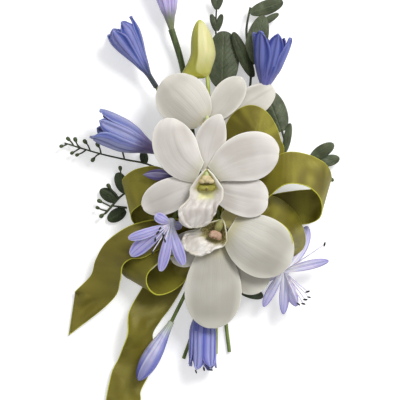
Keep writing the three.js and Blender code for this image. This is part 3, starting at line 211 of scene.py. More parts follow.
# A station of a band is its middle's place, then the way across it as two shares of a turn, its
# heading and its lean, and the share of the ribbon's width that lies open there.
BANDS = {
    "bow_upper_right_loop": [
        [0.035, -0.06, 0.34, -0.056, 0.167, 0.5],
        [0.052, 0.025, 0.41, -0.056, 0.153, 0.7],
        [0.074, 0.105, 0.46, -0.05, 0.125, 1],
        [0.0945, 0.166, 0.48, -0.1, 0.09, 1],
        [0.114, 0.194, 0.49, -0.15, 0.085, 1],
        [0.135, 0.201, 0.49, -0.22, 0.082, 1],
        [0.15, 0.189, 0.48, -0.31, 0.082, 1],
        [0.159, 0.168, 0.46, -0.397, 0.085, 1],
        [0.167, 0.144, 0.44, -0.46, 0.09, 1],
        [0.176, 0.118, 0.4, -0.505, 0.105, 1],
        [0.15, 0.05, 0.36, -0.565, 0.14, 0.8],
        [0.075, -0.04, 0.33, -0.625, 0.167, 0.5],
        [0.04, -0.06, 0.34, -0.625, 0.167, 0.45],
    ],
    "bow_right_loop": [
        [0.04, -0.06, 0.34, 0.222, -0.028, 0.5],
        [0.09, -0.015, 0.43, 0.264, -0.03, 0.7],
        [0.155, 0.038, 0.48, 0.262, -0.045, 1],
        [0.21, 0.0775, 0.54, 0.25, -0.065, 1],
        [0.2625, 0.076, 0.54, 0.24, -0.07, 1],
        [0.304, 0.0525, 0.5, 0.205, -0.07, 1],
        [0.3185, 0.021, 0.4, 0.2, -0.065, 1],
        [0.311, -0.005, 0.28, 0.21, -0.04, 1],
        [0.281, -0.016, 0.19, 0.235, 0, 1],
        [0.2425, -0.02, 0.15, 0.25, 0, 1],
        [0.1875, -0.03, 0.15, 0.26, 0, 1],
        [0.12, -0.045, 0.2, 0.26, 0, 0.8],
        [0.075, -0.06, 0.29, 0.25, 0, 0.5],
        [0.04, -0.06, 0.32, 0.25, 0, 0.45],
    ],
    "bow_lower_right_loop": [
        [0.04, -0.06, 0.34, -0.25, 0.167, 0.45],
        [0.112, -0.025, 0.37, -0.25, 0.15, 0.8],
        [0.175, -0.018, 0.37, -0.28, 0.135, 1],
        [0.219, -0.042, 0.38, -0.36, 0.16, 1],
        [0.244, -0.08, 0.38, -0.444, 0.18, 1],
        [0.246, -0.115, 0.37, -0.514, 0.183, 1],
        [0.215, -0.142, 0.32, -0.625, 0.183, 1],
        [0.155, -0.148, 0.28, -0.736, 0.181, 1],
        [0.09, -0.12, 0.31, -0.8, 0.181, 0.6],
        [0.04, -0.07, 0.34, -0.83, 0.167, 0.45],
    ],
    "bow_left_tail": [
        [0.02, -0.062, 0.36, 0.278, 0, 0.45],
        [-0.05, -0.078, 0.41, 0.278, 0, 0.7],
        [-0.108, -0.086, 0.41, 0.285, 0, 0.85],
        [-0.16, -0.105, 0.42, 0.32, -0.02, 1],
        [-0.204, -0.126, 0.36, 0.4, -0.085, 1],
        [-0.229, -0.158, 0.3, 0.464, -0.1, 1],
        [-0.239, -0.1975, 0.24, 0.472, -0.08, 1],
        [-0.268, -0.241, 0.13, 0.45, 0, 1.05],
        [-0.327, -0.29, 0.04, 0.226, 0, 1.3],
    ],
    "bow_left_upper_loop": [
        [0.02, -0.06, 0.34, 0.278, 0, 0.45],
        [-0.035, 0.01, 0.42, 0.292, -0.014, 0.8],
        [-0.088, 0.042, 0.45, 0.306, -0.022, 1],
        [-0.142, 0.038, 0.42, 0.3, -0.022, 1],
        [-0.175, 0.02, 0.36, 0.292, -0.014, 1],
        [-0.185, 0.002, 0.27, 0.289, 0, 1],
        [-0.172, -0.02, 0.18, 0.283, 0, 1],
        [-0.132, -0.035, 0.15, 0.278, 0, 1],
        [-0.075, -0.042, 0.2, 0.272, 0, 0.8],
        [-0.015, -0.055, 0.3, 0.264, 0, 0.5],
        [0.02, -0.06, 0.32, 0.264, 0, 0.45],
    ],
    "bow_left_lower_loop": [
        [0.02, -0.07, 0.32, -0.167, 0.06, 0.45],
        [-0.04, -0.095, 0.31, -0.139, 0.08, 0.8],
        [-0.09, -0.112, 0.33, -0.125, 0.08, 1],
        [-0.135, -0.135, 0.38, -0.097, 0.08, 1],
        [-0.165, -0.168, 0.36, -0.083, 0.08, 1],
        [-0.165, -0.2, 0.3, -0.078, 0.08, 1],
        [-0.142, -0.22, 0.22, -0.083, 0.08, 1],
        [-0.105, -0.21, 0.17, -0.097, 0.08, 1],
        [-0.068, -0.18, 0.18, -0.117, 0.08, 1],
        [-0.03, -0.135, 0.24, -0.139, 0.08, 0.8],
        [0.015, -0.08, 0.31, -0.153, 0.06, 0.45],
    ],
    "bow_bottom_tail": [
        [0.02, -0.07, 0.33, 0.45, 0, 0.45],
        [-0.038, -0.115, 0.22, 0.403, 0.05, 0.7],
        [-0.062, -0.165, 0.07, 0.417, 0.02, 0.85],
        [-0.085, -0.205, 0.045, 0.417, 0, 1],
        [-0.112, -0.25, 0.06, 0.41, 0.01, 1],
        [-0.14, -0.295, 0.11, 0.458, 0.05, 1],
        [-0.152, -0.34, 0.165, 0.49, 0.125, 1],
        [-0.156, -0.38, 0.12, 0.485, 0.06, 1],
        [-0.167, -0.42, 0.07, 0.45, 0, 1],
        [-0.1875, -0.462, 0.07, 0.41, 0, 1],
        [-0.195, -0.508, 0.06, 0.48, 0, 1],
        [-0.2, -0.565, 0.04, 0.4, 0, 1.1],
    ],
}


# Places and turns


def spot(shares):
    """The place in millimetres that shares of the layout stand for."""
    x, y, z = shares
    return np.array([x * LAYOUT_SIDE, y * LAYOUT_SIDE, z * LAYOUT_HEIGHT])


def spots(*places):
    return [spot(shares) for shares in places]


def in_metres(points):
    """Layout millimetres as places in the spray's frame."""
    return (np.asarray(points, float) + LAYOUT_SHIFT) / 1000


def node_box(node):
    """The lowest and highest corner of a CAD node at rest, in layout millimetres."""
    return [np.array(corner) * 1000 - LAYOUT_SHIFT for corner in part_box(node)]


def turn_matrix(heading, pitch=0.0, roll=0.0):
    """A turn by heading in plan, then pitch above the table, then roll about the piece's own +Y."""
    a, p, r = math.radians(heading - 90), math.radians(pitch), math.radians(roll)
    about_z = np.array([[math.cos(a), -math.sin(a), 0], [math.sin(a), math.cos(a), 0], [0, 0, 1]])
    about_x = np.array([[1, 0, 0], [0, math.cos(p), -math.sin(p)], [0, math.sin(p), math.cos(p)]])
    about_y = np.array([[math.cos(r), 0, math.sin(r)], [0, 1, 0], [-math.sin(r), 0, math.cos(r)]])
    return about_z @ about_x @ about_y


def smoothstep(x, low, high):
    t = np.clip((x - low) / (high - low), 0, 1)
    return t * t * (3 - 2 * t)


def blend(a, b, t):
    return a + (b - a) * t


# Skins: the points, marks and faces that one piece is gathered from


def in_scene(name, data):
    """A new object in the scene."""
    thing = bpy.data.objects.new(name, data)
    bpy.context.scene.collection.objects.link(thing)
    return thing


def settle(piece, node, body="spray"):
    """The piece rides on its body and stands for its CAD node, which is hidden."""
    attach(piece, body)
    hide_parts(node)
    return piece


class Skin:
    """Parts of one piece. place marks (across, along) and rim marks (nearness to the rim, side)."""

    def __init__(self):
        self.points, self.place, self.rim, self.faces, self.finish = [], [], [], [], []
        self.count = 0

    def add(self, part, root=(0, 0, 0), turn=None, finish=0):
        points, faces, place, rim = part
        points = points.reshape(-1, 3)
        if turn is not None:
            points = points @ turn.T
        self.points.append(points + np.asarray(root, float))
        self.place.append(place.reshape(-1, 2))
        self.rim.append(rim.reshape(-1, 2))
        self.faces.extend((np.asarray(face) + self.count).tolist() for face in faces)
        self.finish.extend([finish] * len(faces))
        self.count += len(points)
        return self

    def piece(self, name, materials, node=None, body="spray"):
        """The finished piece, standing for its CAD node and riding on its body."""
        mesh = bpy.data.meshes.new(name)
        mesh.from_pydata(in_metres(np.concatenate(self.points)).tolist(), [], self.faces)
        corners = np.empty(len(mesh.loops), int)
        mesh.loops.foreach_get("vertex_index", corners)
        for title, marks in (("place", self.place), ("rim", self.rim)):
            layer = mesh.uv_layers.new(name=title)
            layer.data.foreach_set("uv", np.concatenate(marks)[corners].ravel())
        mesh.polygons.foreach_set("material_index", self.finish)
        mesh.shade_smooth()
        for material in materials:
            mesh.materials.append(material)
        return settle(in_scene(name, mesh), node or name, body)


def turn_of(form):
    return turn_matrix(form["heading"], form["pitch"], form.get("roll", 0))


def placed(shape, form):
    """A skin of one part, at its form's root and turned as the form is."""
    return Skin().add(shape, spot(form["root_shares"]), turn_of(form))


def grid_quads(index):
    """The quads between the rows and columns of an index grid."""
    a, b, c, d = index[:-1, :-1], index[:-1, 1:], index[1:, 1:], index[1:, :-1]
    return np.stack([a, b, c, d], -1).reshape(-1, 4)


RIM_STEPS = np.array([0.0, 0.1, 0.35, 0.7, 1.0])
RIM_REACH = 0.6
SHARP_END = 0.05


def round_over(gap, reach):
    """0 at an edge and 1 from a reach inwards, with a quarter circle between."""
    return np.sqrt(np.clip(1 - (1 - np.clip(gap / reach, 0, 1)) ** 2, 0, 1))


def thin_sheet(surface, rows, columns, thickness, even=False, bead=0.0, bead_width=0.5, round_ends=True):
    """
    A closed thin body on both sides of surface(along, across), for along from 0 to 1 and across
    from -1 to 1, with round rims that a bead can thicken.
    """
    share = np.linspace(0, 1, rows + 1)
    along = (share if even else (1 - np.cos(np.pi * share)) / 2)[:, None]
    middle = surface(along, np.zeros_like(along))[:, 0]
    length = np.concatenate([[0], np.cumsum(np.linalg.norm(np.diff(middle, axis=0), axis=1))])
    span = surface(along, np.linspace(-1, 1, 25)[None, :])
    half = np.linalg.norm(np.diff(span, axis=1), axis=2).sum(1)[:, None] / 2
    half = np.maximum(half, 0.02)
    radius = np.minimum(thickness / 2, 0.45 * half)
    inner = 1 - radius / half
    # Each row has close columns over its round rims and even ones between them.
    across = np.concatenate([
        -1 + RIM_STEPS[None, :-1] * radius / half,
        np.linspace(-1, 1, columns + 1)[None, :] * inner,
        1 - RIM_STEPS[None, -2::-1] * radius / half,
    ], axis=1)
    along = np.broadcast_to(along, across.shape)
    # The normal comes from small steps along and across.
    step = 1e-3
    low, high = np.maximum(along - step, 0), np.minimum(along + step, 1)
    lengthways = surface(high, across) - surface(low, across)
    low, high = np.maximum(across - step, -1), np.minimum(across + step, 1)
    normal = np.cross(surface(along, high) - surface(along, low), lengthways)
    normal /= np.maximum(np.linalg.norm(normal, axis=2, keepdims=True), 1e-12)
    # Half the thickness falls to nothing at the sides and ends.
    to_side = (1 - np.abs(across)) * half
    to_end = np.minimum(length, length[-1] - length)[:, None] * np.ones_like(across)
    height = np.minimum(thickness / 2, 0.9 * half) * round_over(to_side, radius)
    if bead:
        height = height + bead * round_over(to_side, radius) * np.exp(-((to_side / bead_width) ** 4))
    height = height * round_over(to_end, thickness / 2 if round_ends else SHARP_END)
    # The underside shares the outer ring of points with the top.
    deep, wide = across.shape
    top = np.arange(deep * wide).reshape(deep, wide)
    under = top.copy()
    inside = (slice(1, -1), slice(1, -1))
    under[inside] = deep * wide + np.arange((deep - 2) * (wide - 2)).reshape(deep - 2, wide - 2)
    point, lift = surface(along, across), normal * height[..., None]
    points = np.concatenate([(point + lift).reshape(-1, 3), (point - lift)[inside].reshape(-1, 3)])
    place = np.stack([(across + 1) / 2, along], -1)
    nearness = np.exp(-np.minimum(to_side, to_end) / RIM_REACH)
    rim = np.stack([nearness, np.zeros_like(nearness)], -1)
    below = np.stack([nearness, np.ones_like(nearness)], -1)
    place = np.concatenate([place.reshape(-1, 2), place[inside].reshape(-1, 2)])
    rim = np.concatenate([rim.reshape(-1, 2), below[inside].reshape(-1, 2)])
    faces = np.concatenate([grid_quads(top), grid_quads(under)[:, ::-1]])
    return points, faces, place, rim


def closed_rings(points, place, near=0.0):
    """A closed body through rings of points, with a pole at both ends. Rings turn left about +along."""
    rings, sides = points.shape[:2]
    near = np.broadcast_to(near, (rings, sides))
    near = np.concatenate([near.ravel(), near[:1].mean(1), near[-1:].mean(1)])
    index = np.arange(rings * sides).reshape(rings, sides)
    faces = grid_quads(np.concatenate([index, index[:, :1]], axis=1)).tolist()
    first, last = rings * sides, rings * sides + 1
    faces += [[first, index[0, (k + 1) % sides], index[0, k]] for k in range(sides)]
    faces += [[last, index[-1, k], index[-1, (k + 1) % sides]] for k in range(sides)]
    points = np.concatenate([points.reshape(-1, 3), points[:1].mean(1), points[-1:].mean(1)])
    place = np.concatenate([place.reshape(-1, 2), place[:1].mean(1), place[-1:].mean(1)])
    return points, faces, place, np.stack([near, 0 * near], -1)


def ring_grid(rings, sides, first=0.0, last=1.0):
    """Angles and lengthwise shares for closed_rings, with the rings closer together at the ends."""
    share = (1 - np.cos(np.pi * np.linspace(0, 1, rings))) / 2
    along = blend(first, last, share)[:, None] * np.ones(sides)[None, :]
    angle = -np.linspace(0, FULL_TURN, sides, endpoint=False)[None, :] * np.ones(rings)[:, None]
    return angle, along


def turned(radius, y, angle, along, near=0.0):
    """A round body about Y, closed through rings with a radius and a place on Y."""
    points = np.stack([radius * np.cos(angle), y, radius * np.sin(angle)], -1)
    return closed_rings(points, np.stack([(1 + np.cos(angle)) / 2, along], -1), near)


def ellipsoid(half_sizes, sides, rings):
    """An ellipsoid with its poles on Y."""
    angle, along = ring_grid(rings, sides, 0.002, 0.998)
    points, *rest = turned(2 * np.sqrt(along * (1 - along)), 2 * along - 1, angle, along)
    return points * half_sizes, *rest


# Smooth paths


def cubic(points, share, centripetal=False):
    """A smooth curve through the points: share runs from 0 to 1, evenly from point to point."""
    points = np.asarray(points, float)
    last = len(points) - 1
    place = np.clip(np.asarray(share, float) * last, 0, last)
    i = np.minimum(place.astype(int), last - 1)
    t = (place - i)[..., None]
    padded = np.concatenate([[2 * points[0] - points[1]], points, [2 * points[-1] - points[-2]]])
    a, b, c, d = padded[i], padded[i + 1], padded[i + 2], padded[i + 3]
    if centripetal:
        before, between, after = (
            np.maximum(np.linalg.norm(leg, axis=-1, keepdims=True) ** 0.5, 1e-4)
            for leg in (b - a, c - b, d - c)
        )
        start = ((b - a) / before - (c - a) / (before + between) + (c - b) / between) * between
        end = ((c - b) / between - (d - b) / (between + after) + (d - c) / after) * between
    else:
        start, end = (c - a) / 2, (d - b) / 2
    return (
        b + start * t + (3 * (c - b) - 2 * start - end) * t**2 + (2 * (b - c) + start + end) * t**3
    )


# Petals, sepals, tepals and leaves: one blade form with its own outline, bend, sway and crown


LEAST_HALF_WIDTH = 0.12
RIPPLES = 2


def half_width_at(form, along):
    """Half the width of a blade: an oval, fullest and blunt as its form says, on a narrow claw."""
    t = np.clip(along, 0, 1)
    fullest, blunt, claw = (form[key] for key in ("fullest_share", "blunt_share", "claw_share"))
    tip = 1 - blunt
    foot = tip * fullest / (1 - fullest)
    full = fullest**foot * (1 - fullest) ** tip
    oval = t**foot * (1 - t) ** tip / full
    return form["width"] / 2 * np.hypot(oval, claw * (1 - t) ** 2) + LEAST_HALF_WIDTH


def blade_surface(form):
    """
    The middle surface of a blade along +Y, facing +Z. bend curls its tip down, sway bows its midrib
    to the left, crown lowers its sides, fold creases it, wave ripples its sides, groove sinks its
    midrib, lifted raises its rims and waver bends it by hand.
    """
    length, width = form["length"], form["width"]
    bend, sway, crown, fold, wave, groove, lifted, waver = (
        form.get(key, 0) for key in ("bend", "sway", "crown", "fold", "wave", "groove", "lifted", "waver"))
    curl = math.radians(bend) or 1e-6
    bow = math.radians(sway) or 1e-6
    reach = length / curl * math.sin(curl)
    shift = 7.0 * length + 3.0 * width

    def surface(along, across):
        angle = curl * along
        down = length / curl * (1 - np.cos(angle))
        half = half_width_at(form, along)
        fullness = 2 * half / width
        ripple = wave * across**2 * np.sin(FULL_TURN * RIPPLES * along + across)
        lift = ripple - fullness * (crown * across**2 + fold * np.abs(across))
        lift = lift - groove * np.exp(-((across / 0.07) ** 2)) * np.sin(np.pi * np.clip(along, 0, 1))
        lift = lift + lifted * np.abs(across) ** 6 * fullness
        unevenness = np.sin(shift + 4.1 * along + 2.3 * across)
        unevenness = unevenness * np.cos(1.7 * shift + 3.3 * across - 2.1 * along)
        lift = lift + waver * fullness * unevenness
        ahead = (length / curl * np.sin(angle) + lift * np.sin(angle)) / reach
        lean = bow * (0.5 - ahead)
        aside = half * across
        return np.stack([
            -reach / bow * (np.cos(lean) - math.cos(bow / 2)) + aside * np.cos(lean),
            reach / bow * (math.sin(bow / 2) - np.sin(lean)) + aside * np.sin(lean),
            lift * np.cos(angle) - down + 0 * aside,
        ], -1)

    return surface


def blade(form, thickness, rows, columns, bead=0.0):
    return thin_sheet(blade_surface(form), rows, columns, thickness, bead=bead)


LIP_LEAN = 5.5


def lip(form):
    """The lip: side lobes that stand up beside the column, and a tongue with a frilled rim."""
    length, width, throat_width, depth = (form[k] for k in ("length", "width", "throat_width", "depth"))
    droop, frill = form["droop"], form["frill"]
    heel, tip = 0.34, 0.74
    narrowest = 0.12

    def surface(along, across):
        spread = smoothstep(along, 0.45, 0.7)
        opening = np.clip(along / heel, 0, 1)
        start = np.maximum(opening**0.7, narrowest)
        past = np.clip((along - tip) / (1 - tip), 0, 1)
        end = np.sqrt(np.maximum(1 - past**2, narrowest**2))
        half = blend(throat_width, width, spread) / 2 * end * start
        hollow = depth * blend(1.0, 0.15, spread) * start
        cross = across**2
        edge = frill * spread * cross * np.sin(np.pi * 5 * (across + along))
        fine = 0.45 * frill * smoothstep(along, 0.5, 0.8) * np.abs(across) ** 5
        edge = edge + fine * np.sin(37 * along + 9 * across)
        edge = edge + fine * 0.7 * np.sin(61 * along - 17 * across)
        pleats = 0.22 * spread * (1 - cross) * np.cos(15 * across + 3 * along)
        drop = droop * np.clip((along - 0.5) / 0.5, 0, 1) ** 2
        rolled = 1.7 * np.abs(across) ** 5 * (1 - spread) * start
        aside = half * across * (1 + 0.04 * spread * np.sin(29 * along) * cross)
        return np.stack([
            aside + LIP_LEAN * spread * along + rolled * np.sign(across),
            length * along + 0 * across,
            edge + pleats - hollow * (1 - cross) - drop - 0.5 * rolled,
        ], -1)

    return thin_sheet(surface, 76, 48, LIP_THICKNESS, bead=0.06, bead_width=0.7)


def bloom_centre(form, lobes):
    """The column with its lobed anther cap, and the lobed saddle of the lip before it."""
    skin = Skin()
    turn, root = turn_of(form), spot(form["root_shares"])
    size = np.array([form["width"], form["length"], form["height"]])
    for x, y, z, *half_sizes, finish in lobes:
        for side in (-1, 1) if x else (1,):
            lobe = ellipsoid(size * half_sizes, 24, 16)
            skin.add(lobe, root + turn @ (size * [x * side, y, z]), turn, finish)
    return skin


# The florets: bells of six overlapping tepals on a tube, open florets, stamens and long buds


BELL_FOOT = 1.3


def bell_radius(form, t):
    """How wide a bell is at a share of its length."""
    if "swell" in form:
        swell = smoothstep(t, *form["swell"])
    else:
        swell = np.sin(np.pi / 2 * np.clip(t, 0, 1) ** (1.2 * form.get("flare", 1.0)))
    return blend(BELL_FOOT, form["mouth_radius"], swell)


def bell(form, rng):
    """A bell with its mouth up +Y: a closed tube, and six free tepals in two whorls."""
    length, root, turn = form["length"], spot(form["root_shares"]), turn_of(form)
    skin = Skin()
    angle, along = ring_grid(26, 48, 0.0, 0.46)
    sink = smoothstep(along, 0.42, 0.46)
    ribs = 1 + 0.05 * np.cos(6 * angle)
    reach = (bell_radius(form, along) - 0.15) * ribs * (1 - 0.8 * sink)
    reach = reach * np.clip(0.6 + np.sqrt(along * 14), 0, 1)
    tube_points = np.stack([reach * np.cos(angle), length * along, reach * np.sin(angle)], -1)
    skin.add(closed_rings(tube_points, np.stack([0.75 + 0.15 * np.cos(6 * angle), along], -1)), root, turn)
    split, point, curls = form.get("split", 0.7), form.get("point", 2.2), form.get("curls", (-0.3, 1.0))
    for k in range(6):
        centre = FULL_TURN * (k + 0.25 * rng.uniform(-0.4, 0.4)) / 6 + form.get("twist", 0.0)
        inner = k % 2
        extra = rng.uniform(-0.08, 0.04)
        curl = rng.uniform(*curls)
        waver = rng.uniform(0, FULL_TURN)

        def surface(along, across, centre=centre, inner=inner, extra=extra, curl=curl, waver=waver):
            t = 0.06 + (0.94 + extra) * along
            past = np.clip((along - split) / (1 - split), 0, 1)
            spread = 0.74 * np.maximum(1 - past**point, 0.004) ** 0.6
            emerge = smoothstep(along, 0.0, 0.34)
            rib = 0.25 * np.exp(-((across / 0.13) ** 2)) * (1 - 0.5 * past)
            pleat = 0.25 * np.cos(2.6 * np.pi * across + waver) + 0.12 * np.cos(21 * across + 5 * along)
            pleat = pleat * smoothstep(along, 0.2, 0.8)
            edge = -0.6 * across**2 * smoothstep(along, 0.35, 0.9) * (1 if inner else -0.2)
            wave = 0.35 * past * np.sin(waver + 5 * along + 2.5 * across)
            out = bell_radius(form, t) - 0.35 * inner + (rib + pleat + edge) * emerge + wave
            out = out + curl * past**2 - 0.9 * (1 - emerge)
            bearing = centre + spread * across
            drop = 0.9 * np.abs(across) ** 3 * past
            return np.stack([out * np.cos(bearing), length * t - drop, out * np.sin(bearing)], -1)

        skin.add(thin_sheet(surface, 44, 16, TEPAL_THICKNESS), root, turn)
    return skin


OPEN_TEPAL = dict(claw_share=0.5, crown=0.7, groove=0.3, waver=0.35, lifted=0.25)


def open_floret(form):
    """Six tepals round a short tube."""
    skin = Skin()
    root, own = spot(form["root_shares"]), form["tepal"]
    skin.add(ellipsoid((2.5, 2.5, 2.4), 28, 18), root + [0, 0, -2.2])
    for (heading, length, pitch, width), sway in zip(form["tepal_shares"], form["sways"]):
        tepal = OPEN_TEPAL | own | dict(width=own["width"] * width, length=form["reach"] * length,
                                        bend=form["bend"], sway=sway)
        skin.add(blade(tepal, TEPAL_THICKNESS, 34, 12), root, turn_matrix(heading * 360, pitch * 360), 1)
    return skin


def bud_radius(form, t):
    """How wide a closed bud is at a share of its length."""
    fullest = form["fullest_share"]
    rise = np.sin(np.pi / 2 * np.minimum(t / fullest, 1)) ** 1.6
    past = np.maximum(t - fullest, 0) / (1 - fullest)
    close = np.maximum(1 - past**2, 0) ** (0.5 + form["point"])
    return blend(form["foot_radius"], form["radius"], rise) * close


def long_bud(form):
    """A closed bud whose tepals overlap along slanting seams, which its rim marks follow."""
    seams, seam_depth, slant = 3, 0.06, 0.5
    angle, along = ring_grid(72, 72, 0.0, 0.999)
    seam = np.abs(np.sin(seams * (angle + slant * along) / 2 + 0.9))
    radius = bud_radius(form, along) * (1 - seam_depth + seam_depth * seam**0.35)
    return turned(radius, form["length"] * along, angle, along, np.exp(-seam / 0.12))


def orchid_bud(form):
    """The green bud: a keeled oval whose lateral sepals run out into a chin at its foot."""
    angle, along = ring_grid(90, 96, 0.0, 0.999)
    radius = bud_radius(form, along) * np.clip(0.35 + np.sqrt(along * 6), 0, 1)
    around = (angle + FULL_TURN * 2) % FULL_TURN
    ridge_at = 0.66 * math.pi - 0.25 * along
    off_ridge = np.abs((around - ridge_at + math.pi) % FULL_TURN - math.pi)
    ridge = 0.12 * np.exp(-((off_ridge / 0.16) ** 2)) * smoothstep(along, 0.0, 0.25)
    radius = radius * (1 + ridge * (1 - 0.4 * along))
    points = np.stack([radius * np.cos(angle), form["length"] * along, radius * np.sin(angle)], -1)
    off_chin = around - math.pi
    swell = np.exp(-((off_chin / 0.95) ** 2)) * np.exp(-(((along - 0.2) / 0.13) ** 2))
    points = points + swell[..., None] * np.array([-9.5, -7.0, -0.6])
    # side is 1 on the side of the keel that takes the painted light and 0 on the side with painted shade.
    side = smoothstep(np.sin(ridge_at - around), -0.25, 0.25)
    return closed_rings(points, np.stack([side, along], -1))


# The bow


def band_surface(stations):
    """A ribbon through stations. Where it is drawn in, its spare width goes into pleats."""
    pleats = 2
    table = np.array(stations, float)
    middles = table[:, :3] * [LAYOUT_SIDE, LAYOUT_SIDE, LAYOUT_HEIGHT]
    heading, lean, share = (table[:, 3:] * [FULL_TURN, FULL_TURN, 1]).T
    flat = share * np.cos(lean)
    ways = np.stack([flat * np.cos(heading), flat * np.sin(heading), share * np.sin(lean)], -1)
    slopes = np.linspace(0, 4.5, 60)
    turns = np.linspace(0, FULL_TURN, 400)
    lengths = np.array([np.sqrt(1 + (slope * np.cos(turns)) ** 2).mean() for slope in slopes])

    def surface(along, across):
        along, across = np.broadcast_arrays(along, across)
        way = cubic(ways, along)
        size = np.linalg.norm(way, axis=-1)
        point = cubic(middles, along) + way * (across * RIBBON_WIDTH / 2)[..., None]
        ahead = cubic(middles, np.minimum(along + 2e-3, 1)) - cubic(middles, np.maximum(along - 2e-3, 0))
        normal = np.cross(way, ahead)
        normal /= np.maximum(np.linalg.norm(normal, axis=-1, keepdims=True), 1e-9)
        slope = np.interp(1 / np.clip(size, 0.2, 1), lengths, slopes)
        height = slope * RIBBON_WIDTH * size / (FULL_TURN * pleats)
        return point + normal * (height * np.sin(np.pi * pleats * across))[..., None]

    return surface, middles


def ribbon_band(name):
    """One band of the bow, and its length in millimetres along the middle."""
    surface, middles = band_surface(BANDS[name])
    path = cubic(middles, np.linspace(0, 1, 600))
    length = np.linalg.norm(np.diff(path, axis=0), axis=1).sum()
    rows = 14 * (len(middles) - 1)
    sheet = thin_sheet(surface, rows, 36, RIBBON_THICKNESS, even=True, bead=0.1, bead_width=0.45,
                       round_ends=False)
    return sheet, length


def knot_pillow():
    """The knot: a squarish pillow of gathered ribbon with folds along it."""
    length, width, height = 9.0, 12.5, 5.2
    angle, along = ring_grid(56, 84, 0.004, 0.996)
    out = 2 * np.sqrt(along * (1 - along))
    unit = np.stack([out * np.cos(angle), 2 * along - 1, out * np.sin(angle)], -1)
    square = np.sign(unit) * np.abs(unit) ** 0.7
    fold = 0.1 * np.cos(7 * np.pi * unit[..., 0] / 2) * np.sqrt(np.clip(1 - unit[..., 1] ** 2, 0, 1))
    square[..., 2] *= 1 - fold
    square[..., 1] *= 1 - 0.4 * fold
    size = np.array([width, length, height]) / 2
    mark = np.stack([(1 + np.cos(angle)) / 2, along], -1)
    return closed_rings(square * size, mark)


def rounded_oblong(half, height, corner, sides):
    """Places (x, z) evenly round an oblong that stands on z = 0, from its lower left to the right."""
    arc = np.pi / 2 * corner
    runs = (2 * half - 2 * corner, arc, height - 2 * corner, arc)
    places = []
    for d in np.linspace(0, sum(runs), sides // 2, endpoint=False):
        for side, run in enumerate(runs):
            if d <= run:
                break
            d -= run
        a = d / corner
        places.append((
            (-half + corner + d, 0),
            (half - corner + corner * math.sin(a), corner - corner * math.cos(a)),
            (half, corner + d),
            (half - corner + corner * math.cos(a), height - corner + corner * math.sin(a)),
        )[side])
    return np.concatenate([places, [0, height] - np.array(places)])


TAPE_TURN = 3.0
LEAST_HEIGHT = 0.02


def wound_tape(low, high):
    """Crepe tape wound round the bundle, each turn lapping the last."""
    length = high[1] - low[1]
    slack, corner = 0.1, 3.0
    half, height = (high[0] - low[0]) / 2 - slack, high[2] - low[2] - slack
    sides, rings = 120, 150
    outline = rounded_oblong(half, height, corner, sides)
    s = np.linspace(0, 1, sides, endpoint=False)
    along = np.linspace(0, 1, rings)[:, None]
    turns = along * length / TAPE_TURN + s[None, :]
    lap = 1 - (0.05 + 0.05 * (turns % 1.0) ** 2) - 0.012 * np.sin(90 * s[None, :] + 17 * turns)
    centre = np.array([0, height / 2])
    ring = (outline - centre)[None] * lap[..., None] + centre
    points = np.stack([ring[..., 0], low[1] + length * along * np.ones(sides), ring[..., 1]], -1)
    points[..., 0] += (low[0] + high[0]) / 2
    points[..., 2] = np.maximum(points[..., 2], LEAST_HEIGHT)
    mark = np.stack([turns % 1.0, along * np.ones(sides)], -1)
    return closed_rings(points[:, ::-1], mark[:, ::-1])


# Nodes, for the finishes and for what is grown


class Nodes:
    """A node tree in the making. An input is set from a plain value or another node's output."""

    def __init__(self, tree):
        self.tree = tree

    def feed(self, node, inputs):
        for key, value in inputs.items():
            socket = node.inputs[key]
            if isinstance(value, bpy.types.NodeSocket):
                self.tree.links.new(value, socket)
            else:
                socket.default_value = value

    def add(self, kind, inputs=None, **settings):
        node = self.tree.nodes.new(kind)
        for key, value in settings.items():
            setattr(node, key, value)
        self.feed(node, inputs or {})
        return node

    def out(self, kind, inputs=None, **settings):
        """The first output of a new node."""
        return self.add(kind, inputs, **settings).outputs[0]

    def maths(self, kind, *values):
        return self.out("ShaderNodeMath", dict(enumerate(values)), operation=kind)

    def times(self, a, b):
        return self.maths("MULTIPLY", a, b)


# Finishes


def paint(code):
    """A colour written as on a screen, as the shader wants it."""
    channels = [int(code[i:i + 2], 16) / 255 for i in (0, 2, 4)]
    return (*(c / 12.92 if c <= 0.04045 else ((c + 0.055) / 1.055) ** 2.4 for c in channels), 1.0)


